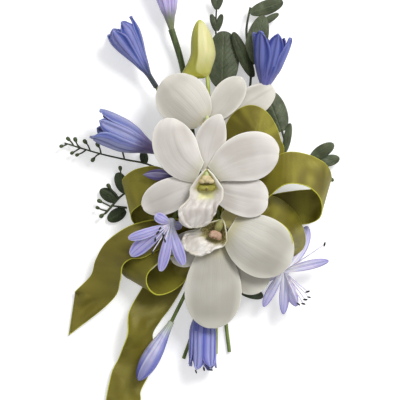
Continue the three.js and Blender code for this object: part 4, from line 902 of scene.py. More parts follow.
class Finish(Nodes):
    """One finish: a shader whose colour, roughness and bump come from the piece's place and marks."""

    def __init__(self, name, sockets):
        self.material = bpy.data.materials.new(name)
        self.material.use_nodes = True
        super().__init__(self.material.node_tree)
        self.shader = self.tree.nodes["Principled BSDF"]
        self.feed(self.shader, sockets)
        self.own_place = self.add("ShaderNodeTexCoord").outputs["Object"]

    def map(self, title):
        return self.out("ShaderNodeUVMap", uv_map=title)

    def marks(self, title):
        """The two marks of a skin's map, as separate values."""
        parts = self.add("ShaderNodeSeparateXYZ", {0: self.map(title)})
        return parts.outputs[0], parts.outputs[1]

    def off_middle(self, across):
        """How far a mark across the piece is from its middle, up to a half at the sides."""
        return self.maths("ABSOLUTE", self.maths("SUBTRACT", across, 0.5))

    def ripple(self, mark, turns, shift):
        """A wave along a mark, shifted by another value."""
        return self.maths("SINE", self.maths("MULTIPLY_ADD", mark, turns, shift))

    def between(self, value, low, high):
        """0 below low and 1 above high, with a soft step between."""
        inputs = {"Value": value, "From Min": low, "From Max": high}
        return self.out("ShaderNodeMapRange", inputs, interpolation_type="SMOOTHSTEP")

    def mottle(self, scale, detail=3.0, stretch=None, place=None, rough=0.5):
        """Even noise over the piece, stretched if asked, at its own place or at a given one."""
        vector = place or self.own_place
        if stretch:
            vector = self.out("ShaderNodeMapping", {"Vector": vector, "Scale": stretch})
        inputs = {"Vector": vector, "Scale": scale, "Detail": detail, "Roughness": rough}
        return self.out("ShaderNodeTexNoise", inputs)

    def clouds(self, scale, detail, low, high, **how):
        """Mottle as soft patches: 1 in them and 0 outside them."""
        return self.between(self.mottle(scale, detail, **how), low, high)

    def mix(self, factor, a, b):
        inputs = {0: factor, 6: a, 7: b}
        return self.add("ShaderNodeMix", inputs, data_type="RGBA", clamp_factor=True).outputs[2]

    def patched(self, ground, patch, mask):
        """The colour of the ground, and that of a patch where the mask is."""
        return self.mix(mask, paint(ground), paint(patch))

    def tint(self, skin, code, mask, share=1.0):
        """The skin with a colour laid over it where the mask is, at most to a share."""
        amount = mask if share == 1.0 else self.times(mask, share)
        return self.mix(amount, skin, paint(code))

    def colour(self, value):
        self.feed(self.shader, {"Base Color": value})
        return self

    def bump(self, height, depth):
        """A bump of a depth in metres."""
        normal = self.out("ShaderNodeBump", {"Height": height, "Distance": depth, "Strength": 1.0})
        self.feed(self.shader, {"Normal": normal})
        return self

    def rough(self, value, low, high):
        roughness = self.out("ShaderNodeMapRange", {"Value": value, "To Min": low, "To Max": high})
        self.feed(self.shader, {"Roughness": roughness})
        return self


PETAL_VEINS = 11


def petal_finish(name, light, shade, foot, rim, foot_reach=0.22):
    """Petal tissue: two tones in clouds, faint veins, a foot tone, sides and tip lightened as painted light
    through the thin tissue, an underside darkened as painted shade, and thin pale edges.
    """
    f = Finish(name, {"Roughness": 0.5, "Subsurface Weight": 0.22, "Subsurface Scale": 0.002,
                      "Subsurface Radius": (1.0, 0.9, 0.75), "Specular IOR Level": 0.35,
                      "Sheen Weight": 0.08, "Sheen Roughness": 0.5})
    across, along = f.marks("place")
    near, under = f.marks("rim")
    skin = f.patched(light, shade, f.clouds(48, 2.0, 0.36, 0.66))
    lines = f.ripple(across, PETAL_VEINS * FULL_TURN, f.times(f.mottle(160, 2.0), 5.0))
    inside = f.times(f.between(along, 0.97, 0.35), f.between(near, 0.6, 0.1))
    vein = f.times(f.between(lines, 0.55, 1.0), inside)
    skin = f.tint(skin, foot, vein, 0.1)
    skin = f.tint(skin, foot, f.between(along, foot_reach, 0.0))
    # Paler towards the sides and tip: painted light shining through the thin tissue.
    thin = f.maths("MAXIMUM", f.between(f.off_middle(across), 0.33, 0.5), f.between(along, 0.8, 1.0))
    skin = f.tint(skin, rim, f.times(thin, f.between(along, 0.1, 0.4)), 0.5)
    # The underside leans to the shade tone: painted shade.
    skin = f.tint(skin, shade, under, 0.35)
    skin = f.tint(skin, rim, f.between(near, 0.25, 0.75))
    height = f.maths("SUBTRACT", f.times(f.mottle(2600, 3.0), 0.35), f.times(vein, 0.3))
    return f.colour(skin).bump(height, 0.0001).material


def lip_finish(name, throat, deep, speckle, ends, width=0.42, soft=0.22, tissue=("ded9d3", "cbc3bd")):
    """White tissue in clouds of two tones, the greyer one a painted shade, with a throat tone and a deep
    tone up to their ends; the deep tone is partly the throat's own olive and partly painted shade in the
    hollow, and the underside has painted shade.
    """
    f = Finish(name, {"Roughness": 0.48, "Subsurface Weight": 0.22, "Subsurface Scale": 0.0018,
                      "Subsurface Radius": (1.0, 0.9, 0.8), "Specular IOR Level": 0.4})
    across, along = f.marks("place")
    near, under = f.marks("rim")
    throat_end, deep_end = ends
    # Clouds of white and grey tissue: the grey is painted shade.
    skin = f.patched(*tissue, f.clouds(150, 3.0, 0.38, 0.62, rough=0.6))
    off = f.off_middle(across)
    middle = f.between(off, width, width - 0.22)
    skin = f.tint(skin, throat, f.times(f.between(along, throat_end, throat_end - 0.1), middle))
    # The walls beside the column go to the deep tone: partly the throat's own olive, partly painted shade in
    # the hollow.
    walls = f.between(off, width + 0.06, width + 0.06 - soft)
    speckled = f.patched(deep, speckle, f.clouds(1300, 2.0, 0.44, 0.6))
    skin = f.mix(f.times(f.between(along, deep_end, deep_end - 0.14), walls), skin, speckled)
    lit_rim = f.times(f.between(near, 0.6, 1.0), f.between(along, 0.8, 0.45))
    skin = f.tint(skin, "e8e5cc", lit_rim, 0.8)
    tip = f.times(f.between(along, 0.72, 0.95), f.between(near, 0.1, 0.6))
    skin = f.tint(skin, "e2e0b4", tip, 0.35)
    # A greyer underside: painted shade.
    skin = f.tint(skin, "d8d2c8", under, 0.3)
    return f.colour(skin).bump(f.mottle(1500, 3.0), 0.00015).material


def soft_finish(name, light, shade, scale, roughness=0.5, specks=None):
    """A plain plant finish: two tones in clouds, with fine specks of a third if asked."""
    f = Finish(name, {"Roughness": roughness, "Subsurface Weight": 0.08, "Subsurface Scale": 0.0012})
    skin = f.patched(light, shade, f.clouds(scale, 3.0, 0.35, 0.65))
    if specks:
        skin = f.tint(skin, specks, f.clouds(scale * 9, 2.0, 0.6, 0.72), 0.5)
    return f.colour(skin).bump(f.mottle(scale * 8, 3.0), 0.0001).material


def bud_finish():
    """The green bud: pale with painted light on one side of its keel and olive with painted shade on the
    other, streaked lengthways.
    """
    f = Finish("green_bud", {"Roughness": 0.42, "Subsurface Weight": 0.15, "Subsurface Scale": 0.002,
                             "Specular IOR Level": 0.45})
    side, along = f.marks("place")
    streak = f.clouds(240, 3.0, 0.35, 0.65, stretch=(1.0, 0.12, 1.0))
    # The lit and the shaded tone of one skin: painted light and painted shade, split along the keel.
    lit, shaded = f.patched("d6d298", "cbc881", streak), f.patched("b3b04a", "a09f3e", streak)
    skin = f.mix(f.between(side, 0.35, 0.65), shaded, lit)
    skin = f.tint(skin, "b7b53c", f.between(along, 0.3, 0.05), 0.6)
    skin = f.tint(skin, "b9c04e", f.between(along, 0.9, 1.0))
    return f.colour(skin).bump(f.mottle(1800, 3.0), 0.0001).material


def violet_finish(name, foot, body, tip, rib, rim, turns=(0.12, 0.45, 0.85), rib_width=0.07, streaks=5,
                  blur=4.0, rim_mix=0.4, side=None, glow=0.3, streak_mix=0.28):
    """Agapanthus tissue: a foot, body and tip tone up its length, with a dark rib and a pale rim."""
    f = Finish(name, {"Roughness": 0.46, "Subsurface Weight": 0.15, "Subsurface Scale": 0.0012,
                      "Specular IOR Level": 0.4, "Sheen Weight": 0.1})
    across, along = f.marks("place")
    near, _ = f.marks("rim")
    foot_end, body_end, tip_start = turns
    tissue = f.patched(body, tip, f.between(along, body_end, tip_start))
    tissue = f.tint(tissue, tip, f.clouds(260, 3.0, 0.35, 0.65), 0.3)
    if side:
        tissue = f.tint(tissue, side, f.between(across, 0.55, 0.1), 0.75)
    tissue = f.tint(tissue, foot, f.between(along, body_end, foot_end))
    streak = f.between(f.ripple(across, streaks * FULL_TURN, f.times(f.mottle(220, 2.0), blur)), 0.2, 1.0)
    tissue = f.tint(tissue, rib, streak, streak_mix)
    off = f.off_middle(across)
    tissue = f.tint(tissue, rim, f.times(f.between(off, 0.32, 0.14), f.between(along, 0.15, 0.5)), glow)
    line = f.times(f.between(off, rib_width, rib_width * 0.2), f.between(along, 0.08, 0.3))
    tissue = f.tint(tissue, rib, line, 0.6)
    edge = f.times(f.between(near, 0.15, 0.6), f.between(along, 0.1, 0.4))
    tissue = f.tint(tissue, rim, edge, rim_mix)
    height = f.maths("ADD", f.times(streak, -0.5), f.mottle(2200, 2.0))
    return f.colour(tissue).bump(height, 0.00012).material


def leaf_finish(name, light, shade, vein, bloom):
    """A leaf: two tones in clouds, a rib and slanting side veins, and a waxy bloom."""
    f = Finish(name, {"Roughness": 0.55, "Subsurface Weight": 0.06, "Subsurface Scale": 0.001,
                      "Specular IOR Level": 0.35})
    across, along = f.marks("place")
    _, under = f.marks("rim")
    skin = f.patched(light, shade, f.clouds(170, 4.0, 0.32, 0.68))
    off = f.off_middle(across)
    lines = f.between(f.ripple(along, 62.0, f.times(off, -38.0)), 0.82, 1.0)
    skin = f.tint(skin, vein, lines, 0.16)
    rib = f.between(off, 0.045, 0.01)
    skin = f.tint(skin, vein, rib, 0.45)
    skin = f.tint(skin, bloom, f.clouds(420, 3.0, 0.5, 0.75), 0.35)
    skin = f.tint(skin, bloom, under, 0.5)
    height = f.maths("SUBTRACT", f.mottle(1700, 3.0), f.maths("ADD", lines, rib))
    return f.colour(skin).bump(height, 0.00015).material


RIB_PITCH = 0.55
RIBS_TO_A_HIGHLIGHT = 16


def ribbon_finish(name, light, highlight_tone, metal, ribs):
    """Satin with fine crosswise ribs, bands of painted highlight across it, patches of painted shade and a
    thin bright woven edge.
    """
    f = Finish(name, {"Roughness": 0.4, "Metallic": metal, "Sheen Weight": 0.12, "Sheen Roughness": 0.4,
                      "Sheen Tint": paint("c9c860"), "Specular IOR Level": 0.35})
    _, along = f.marks("place")
    near, _ = f.marks("rim")
    # The fold tone is the dark brown of the patches of painted shade laid over the satin below.
    shade, fold, edge = "6b611a", "4f4318", "cfce46"
    rib = f.maths("SINE", f.times(along, ribs * FULL_TURN))
    cloud = f.mottle(70, 2.0)
    satin = f.patched(shade, light, f.between(cloud, 0.2, 0.8))
    # Painted shade in large dark brown patches.
    satin = f.tint(satin, fold, f.clouds(42, 1.0, 0.5, 0.72), 0.6)
    satin = f.tint(satin, shade, f.clouds(1500, 2.0, 0.42, 0.7), 0.4)
    satin = f.tint(satin, shade, f.between(rib, 0.2, 1.0), 0.16)
    # Soft bands across the ribbon in the highlight tone: painted highlights.
    stretch = (0.5, ribs / RIBS_TO_A_HIGHLIGHT, 1.0)
    painted_highlights = f.clouds(1.0, 1.5, 0.38, 0.72, stretch=stretch, place=f.map("place"))
    satin = f.tint(satin, highlight_tone, painted_highlights, 0.4)
    satin = f.tint(satin, edge, f.between(near, 0.5, 0.85))
    f.rough(cloud, 0.44, 0.54)
    return f.colour(satin).bump(rib, 0.00002).material


def tape_finish():
    """Crinkled crepe tape, paler where one turn laps the last."""
    f = Finish("crepe_tape", {"Roughness": 0.7, "Subsurface Weight": 0.03, "Subsurface Scale": 0.001})
    wound, _ = f.marks("place")
    crinkle = f.mottle(900, 4.0, stretch=(1.0, 3.0, 1.0), rough=0.7)
    skin = f.patched("55733a", "3f5a2c", f.between(crinkle, 0.35, 0.65))
    skin = f.tint(skin, "6d8a4a", f.between(wound, 0.88, 1.0))
    return f.colour(skin).bump(crinkle, 0.0003).material


def stem_finish(name, light, shade):
    """A stem with fine streaks up its length and darker patches."""
    f = Finish(name, {"Roughness": 0.5, "Subsurface Weight": 0.06, "Subsurface Scale": 0.001})
    skin = f.patched(light, shade, f.clouds(500, 3.0, 0.36, 0.64, stretch=(1.0, 0.15, 1.0)))
    skin = f.tint(skin, shade, f.clouds(110, 2.0, 0.45, 0.7), 0.5)
    return f.colour(skin).bump(f.mottle(1500, 2.0, stretch=(1.0, 0.2, 1.0)), 0.0001).material


def pearl_finish():
    """A lacquered pearl, with a faint cloud under its coat."""
    f = Finish("pearl", {"Roughness": 0.22, "Coat Weight": 0.6, "Coat Roughness": 0.1,
                         "Subsurface Weight": 0.1, "Subsurface Scale": 0.001, "Specular IOR Level": 0.6})
    skin = f.patched("f5f0e6", "ece2da", f.clouds(300, 2.0, 0.3, 0.7))
    return f.colour(skin).bump(f.mottle(3000, 2.0), 0.00002).material


def steel_finish():
    """Drawn steel wire, with fine lines along it."""
    f = Finish("pin_steel", {"Metallic": 1.0, "Roughness": 0.25})
    drawn = f.mottle(900, 3.0, stretch=(1.0, 0.04, 1.0))
    f.rough(drawn, 0.18, 0.34)
    return f.colour(f.patched("cfd0d3", "b4b6ba", f.between(drawn, 0.3, 0.7))).material


# What follows a route, and what repeats: stems, stalks, threads, small buds and anthers


class Growth(Nodes):
    """A tree that grows a piece from its points, with named inputs for its sizes and finishes."""

    def __init__(self, name, **inputs):
        super().__init__(bpy.data.node_groups.new(name, "GeometryNodeTree"))
        socket = self.tree.interface.new_socket
        socket("Geometry", in_out="INPUT", socket_type="NodeSocketGeometry")
        for title, kind in inputs.items():
            socket(title, in_out="INPUT", socket_type="NodeSocket" + kind)
        socket("Geometry", in_out="OUTPUT", socket_type="NodeSocketGeometry")
        self.given = self.add("NodeGroupInput").outputs

    def mark(self, title, kind):
        """A mark that the points bring along."""
        return self.out("GeometryNodeInputNamedAttribute", {"Name": title}, data_type=kind)

    def skinned(self, geometry):
        """The geometry shaded smooth, made real and given its skin."""
        smooth = self.out("GeometryNodeSetShadeSmooth", {0: geometry})
        real = self.out("GeometryNodeRealizeInstances", {0: smooth})
        return self.out("GeometryNodeSetMaterial", {"Geometry": real, "Material": self.given["Skin"]})

    def ending_in(self, geometry):
        """The tree, with the geometry as its result."""
        self.add("NodeGroupOutput", {0: geometry})
        return self.tree


def route_tree():
    """Round bars along routes, with soft swellings, and their cut ends in a finish of their own."""
    g = Growth("bars_along_routes", Step="Float", Sides="Int", Swelling="Float", Skin="Material",
               Cut="Material")
    curve = g.out("GeometryNodeMeshToCurve", {"Mesh": g.given["Geometry"]})
    curve = g.out("GeometryNodeResampleCurve", {"Curve": curve, "Length": g.given["Step"]}, mode="LENGTH")
    circle = g.out("GeometryNodeCurvePrimitiveCircle", {"Resolution": g.given["Sides"], "Radius": 1.0})
    bars = g.out("GeometryNodeCurveToMesh", {"Curve": curve, "Profile Curve": circle,
                                             "Scale": g.mark("thick", "FLOAT"), "Fill Caps": True})
    noise = g.out("ShaderNodeTexNoise", {"Scale": 260.0, "Detail": 1.0})
    reach = g.times(g.maths("ADD", noise, -0.5), g.given["Swelling"])
    normal = g.out("GeometryNodeInputNormal")
    offset = g.out("ShaderNodeVectorMath", {0: normal, 3: reach}, operation="SCALE")
    skinned = g.skinned(g.out("GeometryNodeSetPosition", {"Geometry": bars, "Offset": offset}))
    corners = g.add("GeometryNodeInputMeshFaceNeighbors").outputs["Vertex Count"]
    many = g.out("FunctionNodeCompare", {2: corners, 3: 4}, data_type="INT", operation="GREATER_THAN")
    return g.ending_in(g.out("GeometryNodeSetMaterial", {"Geometry": skinned, "Selection": many,
                                                         "Material": g.given["Cut"]}))


def grain_tree():
    """A small tapered grain on each point, turned to the point's way and sized by it."""
    g = Growth("grains_on_points", Width="Float", Length="Float", Taper="Float", Skin="Material")
    ball = g.out("GeometryNodeMeshUVSphere", {"Segments": 12, "Rings": 9, "Radius": 1.0})
    x, y, z = g.add("ShaderNodeSeparateXYZ", {0: g.out("GeometryNodeInputPosition")}).outputs
    wide = g.times(g.maths("MULTIPLY_ADD", z, g.given["Taper"], 1.0), g.given["Width"])
    long = g.times(z, g.given["Length"])
    shaped = g.out("ShaderNodeCombineXYZ", {0: g.times(x, wide), 1: g.times(y, wide), 2: long})
    grain = g.out("GeometryNodeSetPosition", {"Geometry": ball, "Position": shaped})
    way = g.mark("way", "FLOAT_VECTOR")
    turn = g.out("FunctionNodeAlignRotationToVector", {"Vector": way}, axis="Z")
    return g.ending_in(g.skinned(g.out("GeometryNodeInstanceOnPoints", {
        "Points": g.given["Geometry"], "Instance": grain, "Rotation": turn,
        "Scale": g.mark("size", "FLOAT")})))


def grown(name, points, edges, marks, tree, given, materials):
    """A tree's result on points in millimetres, as a plain mesh piece. marks are the points' own."""
    mesh = bpy.data.meshes.new(name)
    mesh.from_pydata(in_metres(points).tolist(), edges, [])
    for title, kind, values in marks:
        layer = mesh.attributes.new(title, kind, "POINT")
        layer.data.foreach_set("vector" if kind == "FLOAT_VECTOR" else "value", np.ravel(values))
    for material in materials:
        mesh.materials.append(material)
    piece = in_scene(name, mesh)
    modifier = piece.modifiers.new("grown", "NODES")
    modifier.node_group = tree
    for item in tree.interface.items_tree:
        if item.item_type == "SOCKET" and item.in_out == "INPUT" and item.name in given:
            modifier[item.identifier] = given[item.name]
    graph = bpy.context.evaluated_depsgraph_get()
    made = bpy.data.meshes.new_from_object(piece.evaluated_get(graph), preserve_all_data_layers=True,
                                           depsgraph=graph)
    piece.modifiers.clear()
    piece.data = made
    made.name = name
    return piece


BARS, GRAINS = route_tree(), grain_tree()


def bars(name, routes, skin, cut, step=0.8, sides=16, swelling=0.12):
    """Bars along routes: each is its points in millimetres and its radius at each of them."""
    points, edges, thick = [], [], []
    for route, radii in routes:
        edges.extend((k, k + 1) for k in range(len(points), len(points) + len(route) - 1))
        points.extend(route)
        thick.extend(radii / 1000)
    given = {"Step": step / 1000, "Sides": sides, "Swelling": swelling / 1000, "Skin": skin, "Cut": cut}
    return grown(name, points, edges, [("thick", "FLOAT", thick)], BARS, given, [skin, cut])


def grains(name, points, ways, sizes, skin, width, length, taper=0.0):
    """A grain on each point in millimetres, along its way and of its size."""
    marks = [("way", "FLOAT_VECTOR", ways), ("size", "FLOAT", sizes)]
    given = {"Width": width / 1000, "Length": length / 1000, "Taper": taper, "Skin": skin}
    return grown(name, points, [], marks, GRAINS, given, [skin])


def smooth_route(points, step=0.8):
    """A stem's smooth path through its points."""
    rough = cubic(points, np.linspace(0, 1, 40 * len(points)), centripetal=True)
    length = np.linalg.norm(np.diff(rough, axis=0), axis=1).sum()
    return cubic(points, np.linspace(0, 1, max(int(length / step), 3)), centripetal=True)


def tapered(points, first, last, step=0.8):
    """A smooth route through the points, with its radius going from first to last."""
    route = smooth_route(points, step)
    return route, np.linspace(first, last, len(route))


SLOT_PITCH = 2.6
SLOT_ROWS = {"low": 2.0, "middle": 4.6, "high": 8.25}
BUNDLE_REACH = 10.6


def stem_route(column, row, above, below=()):
    """From the flower, through the stem's slot in the bundle, and on below it."""
    x, z = BUNDLE_CENTRE[0] + column * SLOT_PITCH, SLOT_ROWS[row]
    slot = [np.array([x, BUNDLE_CENTRE[1] + y, z]) for y in (BUNDLE_REACH, 0.0, -BUNDLE_REACH)]
    return [*spots(*above), *slot, *spots(*below)]


def into_flower(route, above):
    """The route with its flower's end run a millimetre on, into the flower's foot."""
    end, before = (0, 1) if above else (-1, -2)
    onward = route[end] - route[before]
    route[end] = route[end] + onward / np.linalg.norm(onward)
    return route


# A stem is its radius, the column and row of its slot, and its places above and below the bundle.
# Its flower is at the first place above, or at the last one below where there is none above.
STEMS = {
    "front_bloom_stem": (
        0.75, 0, "high", [(0.016, 0.05, 0.7), (0.017, 0.035, 0.52), (0.024, 0.01, 0.3)], []),
    "back_bloom_stem": (
        0.75, -1, "high", [(0.018, 0.19, 0.43), (0.013, 0.13, 0.3), (0.013, 0.04, 0.22)], []),
    "lower_bloom_stem": (
        0.75, 1, "high", [(0.047, -0.07, 0.5), (0.047, -0.035, 0.44), (0.045, -0.012, 0.3)], []),
    "orchid_bud_stem": (
        0.85, 0, "middle", [(0.018, 0.315, 0.4), (0.022, 0.26, 0.36), (0.024, 0.12, 0.2)],
        [(0.04, -0.3, 0.03), (0.041, -0.393, 0.025)]),
    "upper_left_bell_stem": (
        0.85, -2, "low", [(-0.107, 0.28, 0.2), (-0.075, 0.2, 0.14), (-0.03, 0.06, 0.07)],
        [(-0.018, -0.33, 0.03), (-0.042, -0.405, 0.025)]),
    "top_bell_stem": (
        0.85, -1, "low", [(-0.071, 0.428, 0.17), (-0.045, 0.34, 0.13), (-0.012, 0.12, 0.07)],
        [(0.028, -0.3, 0.03), (0.03, -0.36, 0.025)]),
    "left_bell_stem": (
        0.85, -2, "middle", [(-0.1, 0.12, 0.3), (-0.07, 0.085, 0.22), (-0.02, 0.0, 0.13)], []),
    "small_violet_bud_stem": (
        0.75, -1, "middle", [(-0.056, 0.062, 0.5), (-0.03, 0.05, 0.36), (0.0, 0.0, 0.16)], []),
    "left_floret_stem": (
        0.85, -3, "middle", [(-0.068, -0.05, 0.52), (-0.05, -0.02, 0.38), (-0.022, -0.008, 0.17)], []),
    "right_bell_stem": (
        0.85, 2, "middle", [(0.162, 0.278, 0.25), (0.13, 0.16, 0.14), (0.075, 0.02, 0.12)],
        [(0.065, -0.3, 0.03), (0.075, -0.388, 0.025)]),
    "right_floret_stem": (0.85, 3, "middle", [], [(0.13, -0.16, 0.12), (0.2, -0.178, 0.18)]),
    "bottom_bell_stem": (0.85, 1, "middle", [], [(0.03, -0.2, 0.14), (0.011, -0.256, 0.17)]),
    "lower_violet_bud_stem": (0.85, -2, "high", [], [(-0.02, -0.2, 0.2), (-0.0714, -0.3062, 0.215)]),
}
THICK_TOPS = {"top_bell_stem": 1.5}
LEAF = dict(bend=10, crown=0.5, fold=0.4, fullest_share=0.5, blunt_share=0.48, claw_share=0.25, groove=0.25)


def leaf(root, heading, pitch, length, width, **form):
    return dict(LEAF, root_shares=root, heading=heading, pitch=pitch, length=length, width=width) | form


# A small bud on a stalk is its tip's place and its stalk's foot, both in plan.
TWIGS = {
    "seed_twig": dict(
        radius=0.55,
        routes=[stem_route(0, "low", [(0.043, 0.5, 0.13), (0.04, 0.43, 0.13), (0.052, 0.34, 0.14),
                                      (0.055, 0.27, 0.13), (0.048, 0.12, 0.07)])],
        leaves=[
            leaf((0.056, 0.285, 0.14), 88, 6, 26, 14.5, blunt_share=0.54),
            leaf((0.042, 0.43, 0.13), 108, 8, 8, 2.6, claw_share=0.5),
            leaf((0.042, 0.43, 0.13), 72, 8, 8, 2.6, claw_share=0.5),
            leaf((0.043, 0.485, 0.13), 110, 8, 7, 2.4, claw_share=0.5),
            leaf((0.043, 0.485, 0.13), 70, 8, 7, 2.4, claw_share=0.5),
        ],
    ),
    "top_eucalyptus": dict(
        radius=0.7,
        routes=[stem_route(1, "low", [(0.128, 0.49, 0.12), (0.118, 0.43, 0.12), (0.13, 0.33, 0.12),
                                      (0.112, 0.2, 0.1), (0.072, 0.06, 0.06)]),
                spots((0.12, 0.42, 0.12), (0.14, 0.434, 0.115), (0.153, 0.446, 0.12))],
        leaves=[
            leaf((0.135, 0.312, 0.16), 112, 6, 22.5, 6, roll=24, skin=1),
            leaf((0.128, 0.345, 0.13), 75, 11, 23, 9.5),
            leaf((0.15, 0.444, 0.12), 31, 6, 10.5, 2.8),
            leaf((0.127, 0.476, 0.13), 18, 14, 16, 6.4, fold=1.4),
        ],
    ),
    "right_eucalyptus": dict(
        radius=0.7,
        routes=[stem_route(3, "low", [(0.208, 0.18, 0.11), (0.216, 0.13, 0.1), (0.17, 0.05, 0.08),
                                      (0.12, 0.0, 0.06)]),
                spots((0.17, 0.05, 0.08), (0.22, 0.09, 0.1), (0.29, 0.108, 0.12), (0.332, 0.055, 0.13))],
        leaves=[
            leaf((0.208, 0.174, 0.11), 111, 4, 20, 11.5, blunt_share=0.55),
            leaf((0.216, 0.122, 0.1), 80, 12, 13.5, 3.2),
            leaf((0.282, 0.106, 0.125), 32, 17, 12.5, 5.6),
            leaf((0.304, 0.094, 0.12), 14, 3, 9.5, 5),
        ],
        buds=[(0.335, 0.0525, 0.326, 0.064)],
        bud_height=0.13, foot_height=0.13,
    ),
    "lower_leaf_twig": dict(
        radius=0.7,
        routes=[stem_route(2, "low", [], [(0.08, -0.2, 0.05), (0.1, -0.225, 0.05)])],
        leaves=[leaf((0.085, -0.214, 0.06), -22, 3, 15, 6, roll=-20)],
    ),
    "left_leafy_twig": dict(
        radius=0.5,
        routes=[
            stem_route(-3, "low", [(-0.345, 0.145, 0.09), (-0.255, 0.118, 0.09), (-0.19, 0.103, 0.08),
                                   (-0.13, 0.09, 0.06), (-0.06, 0.05, 0.05)]),
            spots((-0.192, 0.103, 0.08), (-0.202, 0.14, 0.09)),
            spots((-0.06, 0.05, 0.05), (-0.13, 0.035, 0.05), (-0.19, 0.018, 0.075), (-0.242, -0.035, 0.08)),
            spots((-0.222, -0.015, 0.07), (-0.186, -0.02, 0.06)),
        ],
        leaves=[
            leaf((-0.21, -0.002, 0.07), 148, 4, 9.5, 5.6),
            leaf((-0.19, 0.018, 0.075), 112, 5, 10, 5.6),
            leaf((-0.19, -0.025, 0.06), 211, 2, 9.5, 5.8),
            leaf((-0.14, 0.092, 0.06), 100, 10, 6, 3.6),
        ],
        buds=[
            (-0.335, 0.155, -0.322, 0.138), (-0.317, 0.153, -0.305, 0.133), (-0.292, 0.148, -0.28, 0.126),
            (-0.26, 0.14, -0.252, 0.117), (-0.352, 0.137, -0.338, 0.143), (-0.325, 0.12, -0.305, 0.133),
            (-0.312, 0.115, -0.29, 0.128), (-0.272, 0.103, -0.255, 0.118), (-0.205, 0.148, -0.202, 0.14),
            (-0.255, -0.003, -0.225, -0.018), (-0.26, -0.02, -0.235, -0.028), (-0.25, -0.04, -0.242, -0.035),
            (-0.232, 0.035, -0.205, 0.003), (-0.203, 0.08, -0.192, 0.017),
        ],
        bud_height=0.1, foot_height=0.08,
    ),
}
BUD_SIZE = 1.1


def twig(name, form, leaf_skins, stalk_skin, bud_skin, rng):
    """A twig's stalks, its leaves and its small buds."""
    radius = form["radius"]
    routes = [tapered(route, 0.72 * radius, 1.1 * radius) for route in form["routes"]]
    tips, ways, sizes = [], [], []
    for x, y, foot_x, foot_y in form.get("buds", ()):
        tip, foot = spot((x, y, form["bud_height"])), spot((foot_x, foot_y, form["foot_height"]))
        bow = (tip + foot) / 2 + rng.uniform(-0.4, 0.4, 3) * [1, 1, 0.3]
        routes.append(tapered([foot, bow, tip], 0.42, 0.32, step=0.4))
        tips.append(tip)
        ways.append(tip - bow)
        sizes.append(BUD_SIZE * rng.uniform(0.9, 1.15))
    settle(bars(name + "_stalks", routes, stalk_skin, stalk_skin, sides=12), name)
    if tips:
        buds = grains(name + "_buds", tips, ways, sizes, bud_skin, width=0.78, length=1.15, taper=0.28)
        settle(buds, name)
    leaves = Skin()
    for own in form["leaves"]:
        shape = dict(own, waver=0.25 if own["width"] > 4 else 0.1)
        leaves.add(blade(shape, LEAF_THICKNESS, 34, 16), spot(own["root_shares"]), turn_of(own),
                   own.get("skin", 0))
    leaves.piece(name + "_leaves", leaf_skins, node=name)


def stamens(name, form, thread_skin, anther_skin, rng):
    """Threads from one foot that arch up and out, each with its dark anther across its end."""
    root = spot(form["root_shares"])
    routes, tips, ways, sizes = [], [], [], []
    for heading, length, pitch in form["stamen_shares"]:
        run, rise = math.cos(pitch * FULL_TURN), math.sin(pitch * FULL_TURN)
        turn = turn_matrix(heading * 360)
        reach = form["reach"] * length
        arch = [root + turn @ (reach * np.array([0, t * run, t * rise + 0.12 * math.sin(math.pi * t)]))
                for t in np.linspace(0, 1, 18)]
        routes.append((arch, np.linspace(0.3, 0.22, len(arch))))
        tips.append(arch[-1])
        across = turn_matrix(heading * 360 + rng.uniform(10, 80))
        ways.append(across @ np.array([0, 1, rng.uniform(-0.2, 0.3)]))
        sizes.append(rng.uniform(0.9, 1.15))
    threads = bars(name + "_threads", routes, thread_skin, thread_skin, step=0.5, sides=8, swelling=0.0)
    settle(threads, name)
    settle(grains(name + "_anthers", tips, ways, sizes, anther_skin, width=0.42, length=1.0), name)


# The camera, as the spray was seen: straight above the layout's middle


def set_camera():
    lens, sensor = 200.0, 36.0
    flower_height = 22.0
    camera = in_scene("camera", bpy.data.cameras.new("camera"))
    camera.data.lens, camera.data.sensor_width = lens, sensor
    camera.location = in_metres([0, 0, flower_height + LAYOUT_SIDE * lens / sensor])
    bpy.context.scene.camera = camera


set_camera()
bpy.context.scene.view_settings.view_transform = "Standard"
rng = np.random.default_rng(7)

# Blooms

front_petal = petal_finish("front_petal", "d0cbc6", "beb8b1", "c2beac", "efebe3")
# The lower and back blooms' petals are darker, greyer copies of the front tissue: painted shade. The olive
# of the shaded tissue is painted shade too.
lower_petal = petal_finish("lower_petal", "c3c0b7", "b2aea3", "b6b08e", "e6e3d7")
shaded_petal = petal_finish("shaded_petal", "ddd49c", "cabd84", "b1a768", "e6e0b8", foot_reach=0.6)
back_petal = petal_finish("back_petal", "cdc9c0", "bdb8ae", "bdb8a2", "e6e2d8")
front_lip = lip_finish("front_lip", "e0dda4", "a39d5c", "b0aa68", (0.56, 0.44), soft=0.1)
# The lower lip's tissue is a lighter copy of the front lip's: painted light.
lower_lip = lip_finish("lower_lip", "aca36c", "625c2c", "94875a", (0.62, 0.56), 0.52, 0.05,
                       ("f4efe8", "dcd5cc"))
column_skin = soft_finish("column", "d6dcae", "bcc78a", 260)
cap_skin = soft_finish("anther_cap", "dccfa6", "c6b283", 420)
saddle_skin = soft_finish("lip_saddle", "a9a148", "87822c", 420)
# Small dark marks on the caps, and a dark patch in the saddle's dimple that is painted shade.
mark_and_shade_skin = soft_finish("cap_mark", "6d5c2c", "55481f", 500)
blush_skin = soft_finish("blushed_cap", "cdab93", "ad8b70", 420)
hood_skin = soft_finish("hood", "9a9558", "77723c", 420)
open_skins = [column_skin, cap_skin, saddle_skin, mark_and_shade_skin]
side_skins = [column_skin, blush_skin, hood_skin, mark_and_shade_skin]
